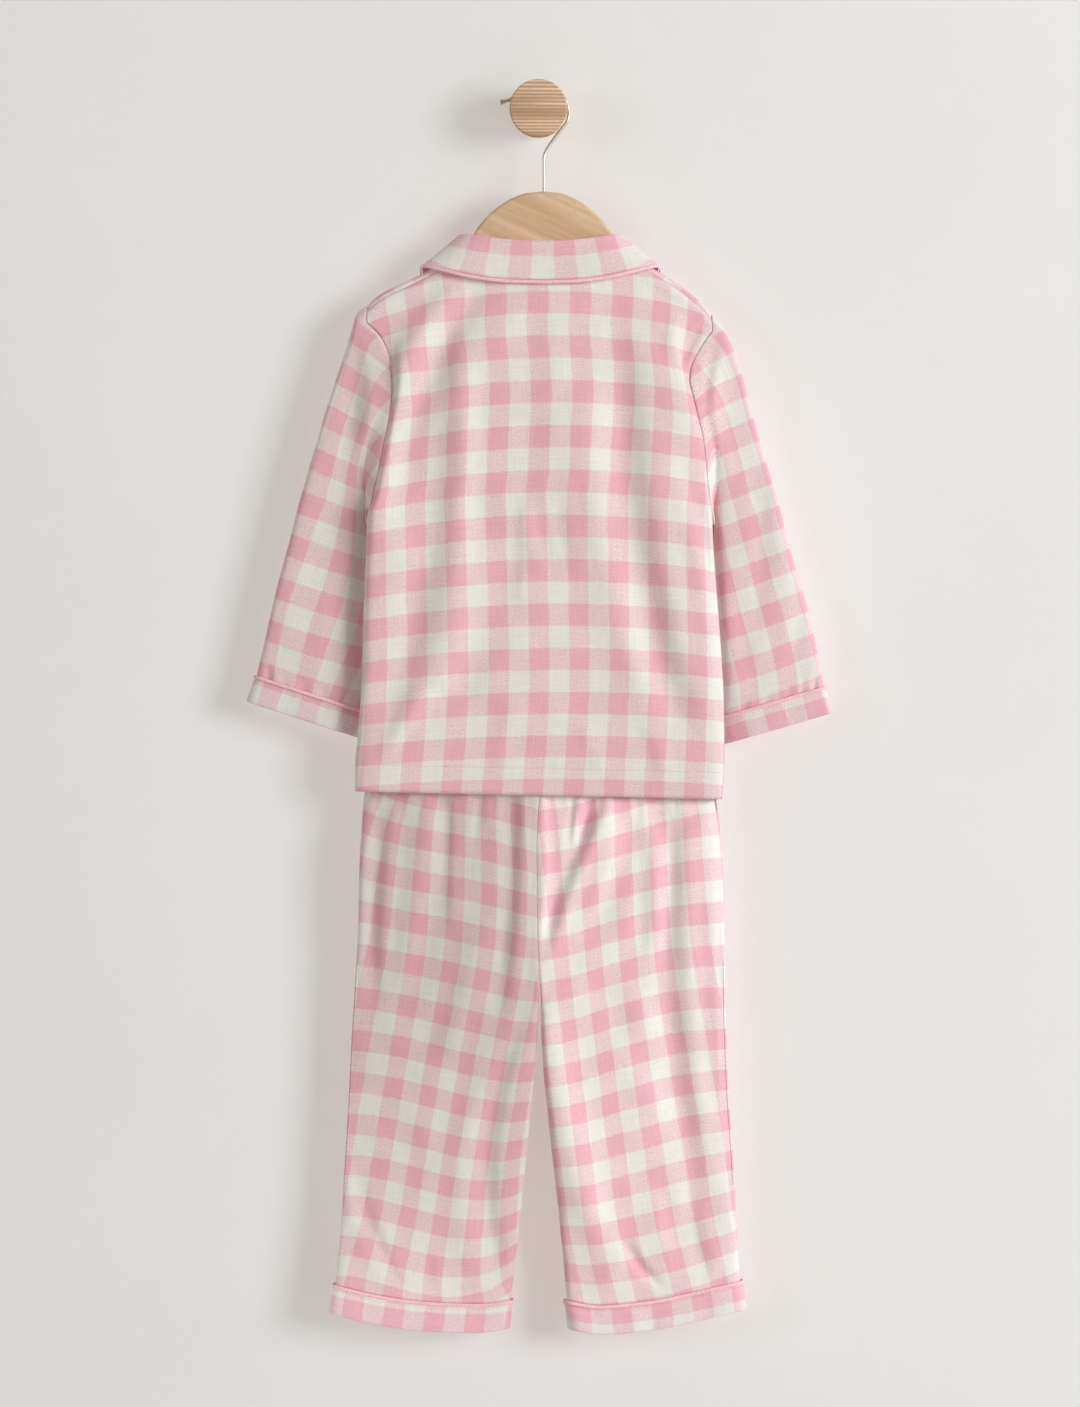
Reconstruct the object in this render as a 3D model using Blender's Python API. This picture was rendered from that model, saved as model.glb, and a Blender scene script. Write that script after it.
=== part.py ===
"""A child's gingham pyjama set on a wooden hanger and wall peg.

The wall is the plane y = 0, +X is to the right for someone who faces the wall, and +Z is up. The
set hangs with its back towards the room, which is the -Y side. The origin is the middle of the
peg's flat back. "Left" and "right" are the wearer's own, so the left side lies at -X.

Tables and sizes are in millimetres. Meshes are made in metres.
"""
import math
from collections import namedtuple

import bmesh
import bpy
import numpy as np

MM = 0.001

# Cloth
CLOTH = 1.2            # brushed cotton, seam allowances and nap included
BAND = 2.0             # cuff bands and the waistband, folded double
SEAM_GAP = 0.3
PIPING_RADIUS = 1.8
PIPING_GAP = 0.5

# The cloth's roll over the arms of the hanger
ROLL_HEIGHT = 14.0
SEAM_ANGLE = 40.0      # the shoulder seam lies this far round the roll, towards the room
LAP_ANGLE = 44.5       # the front's own edge at that seam

# Lap of the fronts, and the buttons
LAP = 10.0             # each front runs past the centre by this much
LAP_STEP = 1.7         # the right front lies this far outside the left one
LAP_FADE = 50.0        # and meets its level this far from the centre
BUTTON_COUNT = 5
BUTTON_RADIUS = 5.8
BUTTON_THICK = 2.4
BUTTON_ROUND = 0.6
BUTTON_SIDES = 16
BUTTON_TOP = -193.0
BUTTON_PITCH = 76.0

# Waistband
WAIST_TOP = -528.0
WAIST_BOTTOM = -553.0

# Cuffs
SLEEVE_CUFF = 22.0
LEG_CUFF = 23.0
LEG_CUFF_LEAN = 3.0
CUFF_PROUD = 1.0       # a cuff band lies this far outside the tube above it
CUFF_FLARE = 0.5
PIPING_SINK = 0.4      # the cord's middle lies this far below a band's top edge

# Hanger and peg
CENTRE = 3.6           # the hanger's middle, to the right of the peg's
ARM_THICK = 11.0
HOOK_RADIUS = 1.4
HOOK_Y = -34.7
STEM_RADIUS = 19.0
STEM_LENGTH = 45.0
DISC_RADIUS = 23.7
DISC_THICK = 12.0
DISC_ROUND = 0.9
PEG_SIDES = 36

Colour = namedtuple("Colour", "name red green blue roughness metallic")
PINK_CLOTH = Colour("pink_gingham", 0.83, 0.52, 0.56, 0.95, 0.0)
PIPING_CLOTH = Colour("pink_piping", 0.84, 0.45, 0.51, 0.9, 0.0)
BEECH = Colour("beech", 0.62, 0.42, 0.26, 0.55, 0.0)
NICKEL = Colour("nickel_wire", 0.72, 0.70, 0.67, 0.25, 1.0)
PEARL = Colour("pearl_button", 0.88, 0.80, 0.78, 0.3, 0.0)

Edge = namedtuple("Edge", "z x")
# Side of the top from hem to shoulder point: side seam, then armhole
TOP_LEFT = (
    Edge(-560.5, -151.0), Edge(-544, -151.2), Edge(-511, -148.3), Edge(-463, -145.3), Edge(-408, -143.8),
    Edge(-370, -142.2), Edge(-329, -140.6), Edge(-316, -136.5), Edge(-298, -132.8), Edge(-272, -127.6),
    Edge(-242, -121.8), Edge(-222, -120.0), Edge(-208, -120.6), Edge(-195, -122.8), Edge(-185, -126.4),
    Edge(-176, -131.3), Edge(-166, -141.4),
)
TOP_RIGHT = (
    Edge(-566.9, 151.0), Edge(-538, 153.0), Edge(-490, 152.6), Edge(-449, 150.6), Edge(-408, 147.7),
    Edge(-362, 144.3), Edge(-322, 142.0), Edge(-301, 138.9), Edge(-267, 135.6), Edge(-248, 131.6),
    Edge(-228, 126.8), Edge(-214, 123.8), Edge(-204, 124.6), Edge(-194, 129.0), Edge(-184, 134.6),
    Edge(-173, 142.6),
)
# Levels are shares of the way from the hem up to the shoulder seam or neck
UNDERARM = 0.587
Line = namedtuple("Line", "x z")
# Shoulder seam and back neck, from shoulder point to shoulder point
BACK_TOP = (
    Line(-141.4, -166.0), Line(-130.6, -156.6), Line(-117, -149.6), Line(-105, -144.0), Line(-92, -137.8),
    Line(-76, -130.0), Line(-60, -130.5), Line(-30, -133.0), Line(3.6, -134.0), Line(36, -133.0),
    Line(66, -130.5), Line(84, -131.0), Line(99, -138.0), Line(110, -144.6), Line(124, -155.0),
    Line(133, -162.6), Line(142.6, -173.0),
)
# How deep the top lies: its edge and its middle, back and front
TopDepth = namedtuple("TopDepth", "level back_edge back_middle front_edge front_middle")
TOP_DEPTH = (
    TopDepth(0.00, -38.5, -56.5, -38.5, -10.0),
    TopDepth(0.08, -40.5, -57.5, -40.5, -9.5),
    TopDepth(0.20, -44.0, -58.5, -44.0, -9.0),
    TopDepth(0.40, -44.5, -60.0, -44.5, -8.5),
    TopDepth(0.587, -44.5, -60.0, -44.5, -8.5),
    TopDepth(0.65, -47.0, -59.5, -33.0, -8.5),
    TopDepth(0.75, -49.5, -58.5, -23.0, -9.0),
    TopDepth(0.85, -49.5, -56.0, -20.5, -9.5),
    TopDepth(0.93, -47.0, -52.5, -22.0, -10.5),
    TopDepth(1.00, -43.0, -48.0, -25.0, -12.0),
)
BACK_LEVELS = (
    0, 0.05, 0.12, 0.2, 0.29, 0.38, 0.47, 0.54, UNDERARM, 0.63, 0.68, 0.735, 0.79, 0.845, 0.895, 0.94, 0.975, 1,
)
FRONT_LEVELS = (0, 0.05, 0.12, 0.2, 0.29, 0.38, 0.47, 0.54, UNDERARM, 0.63, 0.68, 0.735, 0.79, 0.845)
FRONT_ROWS_ABOVE = 8
NECK_POINT = 72.0      # the fronts' neck edge drops from here to the centre
PATH_STEPS = 16        # steps in which a front's column is measured before its rows are placed
ROLL_CROWDING = 1.5    # how much closer the rows lie near the shoulder seam
BACK_ROLL = (14, 27, SEAM_ANGLE)
BACK_COLUMNS = 20
# Columns of a front at its top: how far round the roll each one runs, or how far short it stops
FrontColumn = namedtuple("FrontColumn", "x roll_end drop")
FRONT_COLUMNS = (
    FrontColumn(141.5, LAP_ANGLE, 0), FrontColumn(135, LAP_ANGLE, 0), FrontColumn(125, LAP_ANGLE, 0),
    FrontColumn(112, LAP_ANGLE, 0), FrontColumn(98, LAP_ANGLE, 0), FrontColumn(86, LAP_ANGLE, 0),
    FrontColumn(78, LAP_ANGLE, 0), FrontColumn(74, 100, 0), FrontColumn(70, 165, 0),
    FrontColumn(62, 180, 14), FrontColumn(50, 180, 25), FrontColumn(34, 180, 34),
    FrontColumn(14, 180, 38), FrontColumn(-LAP, 180, 39),
)

# Sleeves, from armhole to cuff seam: the outer and inner edge of the flat tube, and its depth
Sleeve = namedtuple("Sleeve", "share outer_x outer_z inner_x inner_z middle_y half_depth tip_y")
SLEEVE_LEFT = (
    Sleeve(0.00, -143.5, -162, -141.0, -329, -34, 15, -43.5),
    Sleeve(0.04, -151.0, -168, -141.0, -332, -33, 15, -40),
    Sleeve(0.10, -154.5, -182, -141.0, -337, -32, 15, -36),
    Sleeve(0.18, -163.0, -209, -141.0, -346, -30, 15, -31),
    Sleeve(0.28, -173.0, -240, -141.0, -358, -29, 15, -28),
    Sleeve(0.40, -184.5, -280, -141.0, -378, -28, 15, -26),
    Sleeve(0.52, -195.5, -318, -141.5, -400, -27, 15, -25),
    Sleeve(0.64, -205.5, -356, -142.0, -423, -26, 14.5, -25),
    Sleeve(0.76, -215.5, -393, -142.0, -447, -26, 14, -25),
    Sleeve(0.88, -224.5, -431, -142.5, -471, -26, 13, -25),
    Sleeve(1.00, -232.3, -466, -143.0, -495, -26, 11, -25),
)
SLEEVE_RIGHT = (
    Sleeve(0.00, 145.0, -169, 142.5, -322, -34, 15, -43.5),
    Sleeve(0.04, 151.5, -177, 142.5, -325, -33, 15, -40),
    Sleeve(0.10, 158.5, -190, 142.5, -331, -32, 15, -36),
    Sleeve(0.18, 166.5, -213, 142.5, -340, -30, 15, -31),
    Sleeve(0.28, 175.0, -246, 142.5, -354, -29, 15, -28),
    Sleeve(0.40, 186.0, -284, 143.5, -375, -28, 15, -26),
    Sleeve(0.52, 197.5, -323, 145.0, -398, -27, 15, -25),
    Sleeve(0.64, 207.5, -362, 146.5, -423, -26, 14.5, -25),
    Sleeve(0.76, 218.0, -399, 147.5, -449, -26, 14, -25),
    Sleeve(0.88, 228.0, -437, 148.5, -475, -26, 13, -25),
    Sleeve(1.00, 235.0, -475, 149.0, -500, -26, 11, -25),
)
SLEEVE_SHARES = (0, 0.03, 0.08, 0.14, 0.21, 0.3, 0.42, 0.56, 0.7, 0.85, 1)
SLEEVE_FULLNESS = 2.8
ARMHOLE_GAP = 0.6
ARMHOLE_REACH = 0.3    # share of the sleeve over which the armhole's own curve fades out

# Sections of a flat tube: 2 is an ellipse, and more is squarer
BODY_SQUARE = 2.6
LEG_SQUARE = 2.6
OPEN_SQUARE = 2.4
FRONT_SQUARE = 2.2
NECK_WIDTH = 0.42      # share of the half width over which the back of the neck stands out

# Trouser legs: outer edge, and inner edge with the centre back seam above it
LEG_LEFT_OUTER = (
    Edge(-966.6, -167.7), Edge(-913, -162.5), Edge(-864, -159.2), Edge(-815, -156.2), Edge(-770, -154.0),
    Edge(-730, -151.6), Edge(-686, -149.2), Edge(-636, -148.2), Edge(-589, -146.0), Edge(-564, -143.9),
    Edge(-553, -140.0), Edge(-528, -132.0),
)
LEG_LEFT_INNER = (
    Edge(-979, -22.1), Edge(-938, -17.3), Edge(-905, -13.4), Edge(-858, -8.8), Edge(-815, -4.4),
    Edge(-776, -1.2), Edge(-748, 0.6), Edge(-733, 1.2), Edge(-698, 0.0), Edge(-652, -1.3), Edge(-604, -1.6),
    Edge(-582, -0.7), Edge(-553, 1.3), Edge(-528, 2.0),
)
LEG_RIGHT_INNER = (
    Edge(-979, 22.3), Edge(-949, 19.8), Edge(-914, 16.5), Edge(-873, 12.6), Edge(-832, 9.2), Edge(-799, 5.9),
    Edge(-766, 2.6), Edge(-748, 1.4), Edge(-733, 1.2), Edge(-698, 0.0), Edge(-652, -1.3), Edge(-604, -1.6),
    Edge(-582, -0.7), Edge(-553, 1.3), Edge(-528, 2.0),
)
LEG_RIGHT_OUTER = (
    Edge(-963.4, 166.7), Edge(-929, 164.2), Edge(-888, 161.8), Edge(-848, 159.2), Edge(-807, 156.4),
    Edge(-770, 154.8), Edge(-730, 153.7), Edge(-686, 153.2), Edge(-636, 152.4), Edge(-594, 149.9),
    Edge(-567, 147.3), Edge(-553, 143.0), Edge(-528, 135.0),
)
CROTCH = -742.0
CROTCH_CURVE = 46.0    # height over which the seat seam turns under between the legs
SEAT_EASE = 75.0       # the cloth beside it turns under over this much above and below
SEAT_FADE = 8
# Cuff seam of a leg, from its outer to its inner edge
LEFT_CUFF_LINE = (
    Line(-167.7, -966.6), Line(-139, -973.5), Line(-106, -979), Line(-74, -981.5), Line(-45, -982),
    Line(-22, -979),
)
RIGHT_CUFF_LINE = (
    Line(166.7, -963.4), Line(147, -968), Line(123, -973.5), Line(90, -980), Line(50, -983.5),
    Line(22.3, -979.5),
)
LegDepth = namedtuple("LegDepth", "z side back front")
LEG_DEPTH = (
    LegDepth(-1010, -30, -46.0, -14.0),
    LegDepth(-900, -30, -46.5, -13.5),
    LegDepth(-800, -30.5, -47.0, -13.5),
    LegDepth(-740, -31, -48.0, -13.0),
    LegDepth(-690, -32, -50.5, -12.5),
    LegDepth(-640, -33.5, -51.5, -12.5),
    LegDepth(-600, -36, -51.0, -14.5),
    LegDepth(-570, -38, -51.5, -16.0),
    LegDepth(-553, -39.0, -54.8, -15.5),
    LegDepth(-528, -40.0, -55.8, -15.0),
)
LEG_LEVELS = (0, 0.08, 0.19, 0.3, 0.41, 0.48, 0.525, 0.556, 0.565, 0.59, 0.63, 0.7, 0.78, 0.85, 0.91, 0.96, 1)
# Gathers below the waistband: middle, half width and depth of each soft trough
Gather = namedtuple("Gather", "x half_width depth")
BACK_GATHERS = (
    Gather(-119, 8, 2.4), Gather(-79, 9, 2.6), Gather(-50, 8, 2.0), Gather(-22, 7, 1.6),
    Gather(20, 7, 1.8), Gather(38, 8, 2.4), Gather(66, 8, 2.0), Gather(98, 9, 2.4), Gather(128, 8, 2.0),
)
FRONT_GATHERS = (
    Gather(-122, 8, 2.2), Gather(-92, 9, 2.4), Gather(-62, 8, 2.2), Gather(-28, 8, 2.0),
    Gather(26, 8, 2.0), Gather(58, 9, 2.4), Gather(90, 8, 2.2), Gather(122, 8, 2.0),
)
GATHER_LENGTH = 75.0
GATHER_FULL = 12.0     # at full depth from this far below the waistband
WAIST_COLUMNS = 32

# Collar, right half from centre back to centre front: fold line and outer edge of the fall
Collar = namedtuple("Collar", "share fold_x fold_y fold_z edge_x edge_y edge_z")
COLLAR = (
    Collar(0.00, 0, -48.5, -110.2, 0, -51.6, -144.2),
    Collar(0.14, 24, -48.2, -109.4, 28, -51.6, -143.2),
    Collar(0.28, 47, -46.8, -106.8, 55, -51.2, -139.2),
    Collar(0.38, 62, -42.5, -104.4, 76, -49.0, -133.0),
    Collar(0.46, 67, -36.0, -104.8, 94, -40.5, -127.6),
    Collar(0.54, 68, -28.0, -109.0, 97, -29.0, -130.0),
    Collar(0.64, 66, -21.0, -121.0, 94, -18.0, -146.0),
    Collar(0.76, 54, -15.0, -139.0, 80, -9.5, -172.0),
    Collar(0.88, 32, -11.0, -153.0, 58, -6.0, -192.0),
    Collar(1.00, 5, -9.0, -159.0, 34, -4.8, -203.0),
)
COLLAR_BEND = 1.0      # radius inside the fold
COLLAR_CENTRE = 3.2
COLLAR_GAP = 0.6       # from the body's neck edge to the foot of the stand
COLLAR_STOP = 10       # the collar ends this far short of the fronts' lapped edges
NECK_HALF = 79.0

# Top edge of the hanger, from its middle outwards
HANGER_TOP = (
    Line(0, -67.0), Line(13, -68.2), Line(25, -72.4), Line(36, -79.0), Line(46, -87.6), Line(56, -100.4),
    Line(60, -112.0), Line(64, -124.0), Line(69, -135.0), Line(77, -142.5), Line(88, -145.0), Line(99, -148.0),
)
ARCH_END = 86.0
ARM_START = 100.0      # from here on the arm follows the shoulder
ARM_BLUNT = 0.02
HANGER_REACH = 127.0
HANGER_DEEP = 24.0     # height of the arm
HANGER_MIDDLE_DEEP = 46.0
ARM_CLEAR = 2.6        # from the cloth's inside at the crest down to the arm
ARM_ROUND = 3.0
HANGER_POINTS = 37
CROOK_X = 0.5
CROOK_Z = -1.4
CROOK_RADIUS = 24.4
CROOK_RISE = 22.1      # its top is flatter, where it rests on the peg
CROOK_START = 143.0    # degrees, counted from +X towards +Z
CROOK_END = -20.0
CROOK_STEPS = 16
Wire = namedtuple("Wire", "x z scale")
HOOK_TIP = (
    Wire(-31.4, 6.9, 1.65), Wire(-29.6, 7.1, 1.6), Wire(-27.2, 7.6, 1.1), Wire(-24.6, 8.4, 1),
    Wire(-22.2, 9.8, 1),
)
HOOK_SHANK = (
    Wire(18.2, -16.2, 1), Wire(12.0, -24.6, 1), Wire(7.2, -31.6, 1), Wire(5.0, -35.8, 1),
    Wire(4.4, -39.5, 1), Wire(4.4, -50, 1),
)


def smooth(keys, values):
    """A smooth curve through a table's rows that never swings past them, as a function of the key."""
    order = np.argsort(keys)
    keys = np.array(keys, float)[order]
    values = np.array(values, float)[order]
    steps = np.diff(values) / np.diff(keys)
    slopes = np.concatenate((steps[:1], np.zeros(len(steps) - 1), steps[-1:]))
    for i in range(1, len(steps)):
        if steps[i - 1] * steps[i] > 0:
            slopes[i] = 2 * steps[i - 1] * steps[i] / (steps[i - 1] + steps[i])

    def at(key):
        key = min(max(key, keys[0]), keys[-1])
        i = int(np.clip(np.searchsorted(keys, key) - 1, 0, len(keys) - 2))
        width = keys[i + 1] - keys[i]
        t = (key - keys[i]) / width
        ease = t * t * (3 - 2 * t)
        start = values[i] + (values[i + 1] - values[i]) * ease
        return start + width * t * (1 - t) * (slopes[i] * (1 - t) - slopes[i + 1] * t)

    return at


def column(table, key, name):
    """One named column of a table, smooth over another."""
    return smooth([getattr(row, key) for row in table], [getattr(row, name) for row in table])


def blend(start, end, value):
    """0 below start, 1 above end, and an easy curve between."""
    t = min(max((value - start) / (end - start), 0.0), 1.0)
    return t * t * (3 - 2 * t)


def material(colour):
    """Plain material of one finish."""
    made = bpy.data.materials.get(colour.name)
    if made is None:
        made = bpy.data.materials.new(colour.name)
        made.use_nodes = True
        shader = made.node_tree.nodes["Principled BSDF"]
        shader.inputs["Base Color"].default_value = (colour.red, colour.green, colour.blue, 1)
        shader.inputs["Roughness"].default_value = colour.roughness
        shader.inputs["Metallic"].default_value = colour.metallic
    return made


def add_object(name, data, colour):
    """A new object in the scene with one material."""
    piece = bpy.data.objects.new(name, data)
    bpy.context.collection.objects.link(piece)
    data.materials.append(material(colour))
    return piece


def mesh_piece(name, bm, colour, angle=math.radians(40)):
    """Finish a bmesh in millimetres as an object in metres."""
    bmesh.ops.recalc_face_normals(bm, faces=bm.faces)
    bmesh.ops.scale(bm, vec=(MM, MM, MM), verts=bm.verts)
    mesh = bpy.data.meshes.new(name)
    bm.to_mesh(mesh)
    bm.free()
    mesh.shade_smooth()
    mesh.set_sharp_from_angle(angle=angle)
    return add_object(name, mesh, colour)


def grid_normals(points, ring):
    """Unit normals of a grid, rows by columns; the columns of a ring run all the way round."""
    if ring:
        across = np.roll(points, -1, axis=1) - np.roll(points, 1, axis=1)
    else:
        across = np.gradient(points, axis=1)
    normals = np.cross(across, np.gradient(points, axis=0))
    return normals / np.linalg.norm(normals, axis=2, keepdims=True)


def inset(points, thickness, ring, turn, seams):
    """The inner points of a wall. At a seam they never lean towards the neighbouring piece."""
    inward = -turn * grid_normals(points, ring)
    for edge, toward in seams:
        rows, columns = {
            "first_row": (0, slice(None)), "last_row": (-1, slice(None)),
            "first_column": (slice(None), 0), "last_column": (slice(None), -1),
        }[edge]
        part = inward[rows, columns]
        toward = np.broadcast_to(np.array(toward, float), part.shape)
        lean = np.maximum(np.sum(part * toward, axis=1, keepdims=True), 0)
        part = part - lean * toward
        inward[rows, columns] = part / np.linalg.norm(part, axis=1, keepdims=True)
    return points + inward * thickness


def wall(name, outer, thickness, colour, ring=False, turn=1, seams=()):
    """A closed wall of cloth from a grid of outer points."""
    outer = np.array(outer, float)
    inner = inset(outer, thickness, ring, turn, seams)
    rows, columns = outer.shape[:2]
    bm = bmesh.new()
    layers = [[[bm.verts.new(point) for point in row] for row in layer] for layer in (outer, inner)]
    last = columns if ring else columns - 1

    def quad(a, b, c, d):
        bm.faces.new((a, b, c, d))

    for layer in layers:
        for i in range(rows - 1):
            for j in range(last):
                k = (j + 1) % columns
                quad(layer[i][j], layer[i][k], layer[i + 1][k], layer[i + 1][j])
    for i in (0, rows - 1):
        for j in range(last):
            k = (j + 1) % columns
            quad(layers[0][i][j], layers[0][i][k], layers[1][i][k], layers[1][i][j])
    if not ring:
        for j in (0, columns - 1):
            for i in range(rows - 1):
                quad(layers[0][i][j], layers[0][i + 1][j], layers[1][i + 1][j], layers[1][i][j])
    return mesh_piece(name, bm, colour)


def tube(name, path, radius, colour, closed=False, sides=6):
    """A round cord along a path."""
    curve = bpy.data.curves.new(name, "CURVE")
    curve.dimensions = "3D"
    spline = curve.splines.new("POLY")
    spline.points.add(len(path) - 1)
    for point, place in zip(spline.points, path):
        point.co = (place[0] * MM, place[1] * MM, place[2] * MM, 1)
    spline.use_cyclic_u = closed
    spline.use_smooth = True
    curve.bevel_depth = radius * MM
    curve.bevel_resolution = (sides - 4) // 2
    curve.use_fill_caps = not closed
    return add_object(name, curve, colour)


def even_and_edge(count, crowding=0.5):
    """Shares from 0 to 1 that crowd towards both ends, where a section turns round its edge."""
    even = np.linspace(0, 1, count + 1)
    crowded = 0.5 - 0.5 * np.cos(np.pi * even)
    return (1 - crowding) * even + crowding * crowded


# The top

left_x = column(TOP_LEFT, "z", "x")
right_x = column(TOP_RIGHT, "z", "x")
back_top_z = column(BACK_TOP, "x", "z")
top_depth = {name: column(TOP_DEPTH, "level", name) for name in TopDepth._fields[1:]}
front_roll_end = column(FRONT_COLUMNS, "x", "roll_end")
front_drop = column(FRONT_COLUMNS, "x", "drop")
ROLL_START = ROLL_HEIGHT * math.sin(math.radians(SEAM_ANGLE))


def top_side(side, level):
    """x of the top's edge on one side, at a share of its height."""
    table, edge = (TOP_LEFT, left_x) if side < 0 else (TOP_RIGHT, right_x)
    return edge(table[0].z + level * (table[-1].z - table[0].z))


def hem_z(x):
    """Height of the top's hem."""
    share = (x - TOP_LEFT[0].x) / (TOP_RIGHT[0].x - TOP_LEFT[0].x)
    return TOP_LEFT[0].z + share * (TOP_RIGHT[0].z - TOP_LEFT[0].z)


def crown(t, level):
    """How far the cloth stands out across its width, from 0 at an edge to 1 in the middle."""
    tube_like = math.sqrt(max(1 - abs(t) ** BODY_SQUARE, 0))
    open_like = 1 - abs(t) ** OPEN_SQUARE
    neck_like = math.exp(-(t / NECK_WIDTH) ** 2)
    lower = tube_like + (open_like - tube_like) * blend(0.57, 0.68, level)
    return lower + (neck_like - lower) * blend(0.82, 1.0, level)


def back_depth(t, level):
    """y outside the back; t runs from -1 at its left edge to 1 at its right edge."""
    edge = top_depth["back_edge"](level)
    return edge + (top_depth["back_middle"](level) - edge) * crown(t, level)


def on_roll(back_y, front_y, angle):
    """y on the cloth's roll over the arm, and the rise above the roll's start; 0 faces the room."""
    turn = math.radians(angle)
    y = (back_y + front_y) / 2 - (front_y - back_y) / 2 * math.cos(turn)
    return y, ROLL_HEIGHT * math.sin(turn)


def back_point(u, level, angle=0.0):
    """A point outside the back: u runs across from left to right, angle round the roll."""
    x = top_side(-1, level) * (1 - u) + top_side(1, level) * u
    hem_x = TOP_LEFT[0].x * (1 - u) + TOP_RIGHT[0].x * u
    top_x = TOP_LEFT[-1].x * (1 - u) + TOP_RIGHT[-1].x * u
    start = back_top_z(top_x) - ROLL_START
    z = hem_z(hem_x) * (1 - level) + start * level
    y = back_depth(2 * u - 1, level)
    if angle > 0:
        y, rise = on_roll(y, front_depth(-1, x, 1), angle)
        z += rise
    return x, y, z


def front_depth(side, x, level):
    """y outside a front, with the lap of the right front over the left one."""
    edge = top_depth["front_edge"](level)
    middle = top_depth["front_middle"](level)
    far = min(abs(x) / abs(top_side(side, level)), 1)
    tube_like = math.sqrt(1 - far ** FRONT_SQUARE)
    neck_like = blend(0.65, 0.0, far)
    share = tube_like + (neck_like - tube_like) * blend(0.85, 1.0, level)
    y = edge + (middle - edge) * share
    if side > 0:
        y += LAP_STEP * blend(LAP_FADE, LAP_FADE / 2, x)
    return y


def front_flat(side, top_x, level):
    """A point outside a front below the roll. top_x is its column's place at the shoulder or neck."""
    reach = abs(TOP_LEFT[-1].x if side < 0 else TOP_RIGHT[-1].x)
    u = (reach - top_x) / (reach + LAP)
    x = top_side(side, level) * (1 - u) - side * LAP * u
    hem_x = side * abs(TOP_LEFT[0].x) * (1 - u) - side * LAP * u
    start = back_top_z(side * max(top_x, NECK_POINT)) - ROLL_START - front_drop(top_x)
    z = hem_z(hem_x) * (1 - level) + start * level
    return x, front_depth(side, x, level), z


def front_column(side, top_x, levels, rows_above):
    """One column of a front: fixed levels up the body, then even steps to the shoulder or neck."""
    lower = [front_flat(side, top_x, level) for level in levels]
    path = [front_flat(side, top_x, level) for level in np.linspace(levels[-1], 1, PATH_STEPS)]
    x, front_y, start = path[-1]
    back_y = back_depth(x / abs(top_side(side, 1)), 1)
    for angle in np.linspace(180, front_roll_end(top_x), PATH_STEPS)[1:]:
        y, rise = on_roll(back_y, front_y, angle)
        path.append((x, y, start + rise))
    path = np.array(path)
    reach = np.concatenate(([0], np.cumsum(np.linalg.norm(np.diff(path, axis=0), axis=1))))
    shares = 1 - (1 - np.arange(1, rows_above + 1) / rows_above) ** ROLL_CROWDING
    upper = [[np.interp(share * reach[-1], reach, path[:, axis]) for axis in range(3)] for share in shares]
    return lower + upper


def back_grid():
    """Outer points of the back, hem to shoulder seam."""
    shares = even_and_edge(BACK_COLUMNS)
    rows = [[back_point(u, level) for u in shares] for level in BACK_LEVELS]
    rows += [[back_point(u, 1, angle) for u in shares] for angle in BACK_ROLL]
    points = np.array(rows)
    points[:, (0, -1), 1] -= SEAM_GAP / 2
    return points


def front_grid(side):
    """Outer points of one front, hem to shoulder seam and neck."""
    columns = [front_column(side, column.x, FRONT_LEVELS, FRONT_ROWS_ABOVE) for column in FRONT_COLUMNS]
    points = np.array(columns).transpose(1, 0, 2)
    points[:, 0, 1] += SEAM_GAP / 2
    return points


def past_edge(edge_row, row_before):
    """Unit vectors in the cloth's surface, square to its edge and pointing out of the piece."""
    rise = edge_row - row_before
    tangent = np.gradient(edge_row, axis=0)
    tangent /= np.linalg.norm(tangent, axis=1, keepdims=True)
    away = rise - np.sum(rise * tangent, axis=1, keepdims=True) * tangent
    return away / np.linalg.norm(away, axis=1, keepdims=True)


def make_top():
    """Back and fronts; gives their grids for the pieces that are sewn to them."""
    back = back_grid()
    seams = [("last_row", past_edge(back[-1], back[-2]))]
    for edge, away in (("first_column", -1), ("last_column", 1)):
        seams += [(edge, (away, 0, 0)), (edge, (0, 1, 0))]
    wall("top_back", back, CLOTH, PINK_CLOTH, turn=1, seams=seams)
    fronts = {}
    for side, name in ((-1, "top_front_left"), (1, "top_front_right")):
        grid = front_grid(side)
        top_edge = past_edge(grid[-1], grid[-2])
        seams = [("last_row", top_edge), ("first_column", (side, 0, 0)), ("first_column", (0, -1, 0))]
        wall(name, grid, CLOTH, PINK_CLOTH, turn=side, seams=seams)
        fronts[side] = grid
    return back, fronts


def armhole(side, back, front):
    """The ring of an armhole from the underarm up the back, over the shoulder and down the front."""
    up = back[BACK_LEVELS.index(UNDERARM):, 0 if side < 0 else -1]
    down = front[FRONT_LEVELS.index(UNDERARM):, 0][::-1]
    ring = np.concatenate([up, down[:-1]])
    ring[:, 0] += side * ARMHOLE_GAP
    ring[0, 1] = (up[0, 1] + down[-1, 1]) / 2
    return ring


# Sleeves

def sleeve_section(rows, share, heights, facing):
    """Ring of a sleeve: heights run from -1 at its inner edge to 1 at its outer edge."""
    value = {name: rows[name](share) for name in Sleeve._fields[1:]}
    outer = np.array([value["outer_x"], value["outer_z"]])
    inner = np.array([value["inner_x"], value["inner_z"]])
    ring = []
    for height, side in zip(heights, facing):
        x, z = (outer + inner) / 2 + (outer - inner) / 2 * height
        round_off = math.sqrt(max(1 - abs(height) ** SLEEVE_FULLNESS, 0))
        y = value["middle_y"] + side * value["half_depth"] * round_off
        y += (value["tip_y"] - value["middle_y"]) * ((1 - height) / 2) ** 2
        ring.append((x, y, z))
    return np.array(ring)


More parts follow.
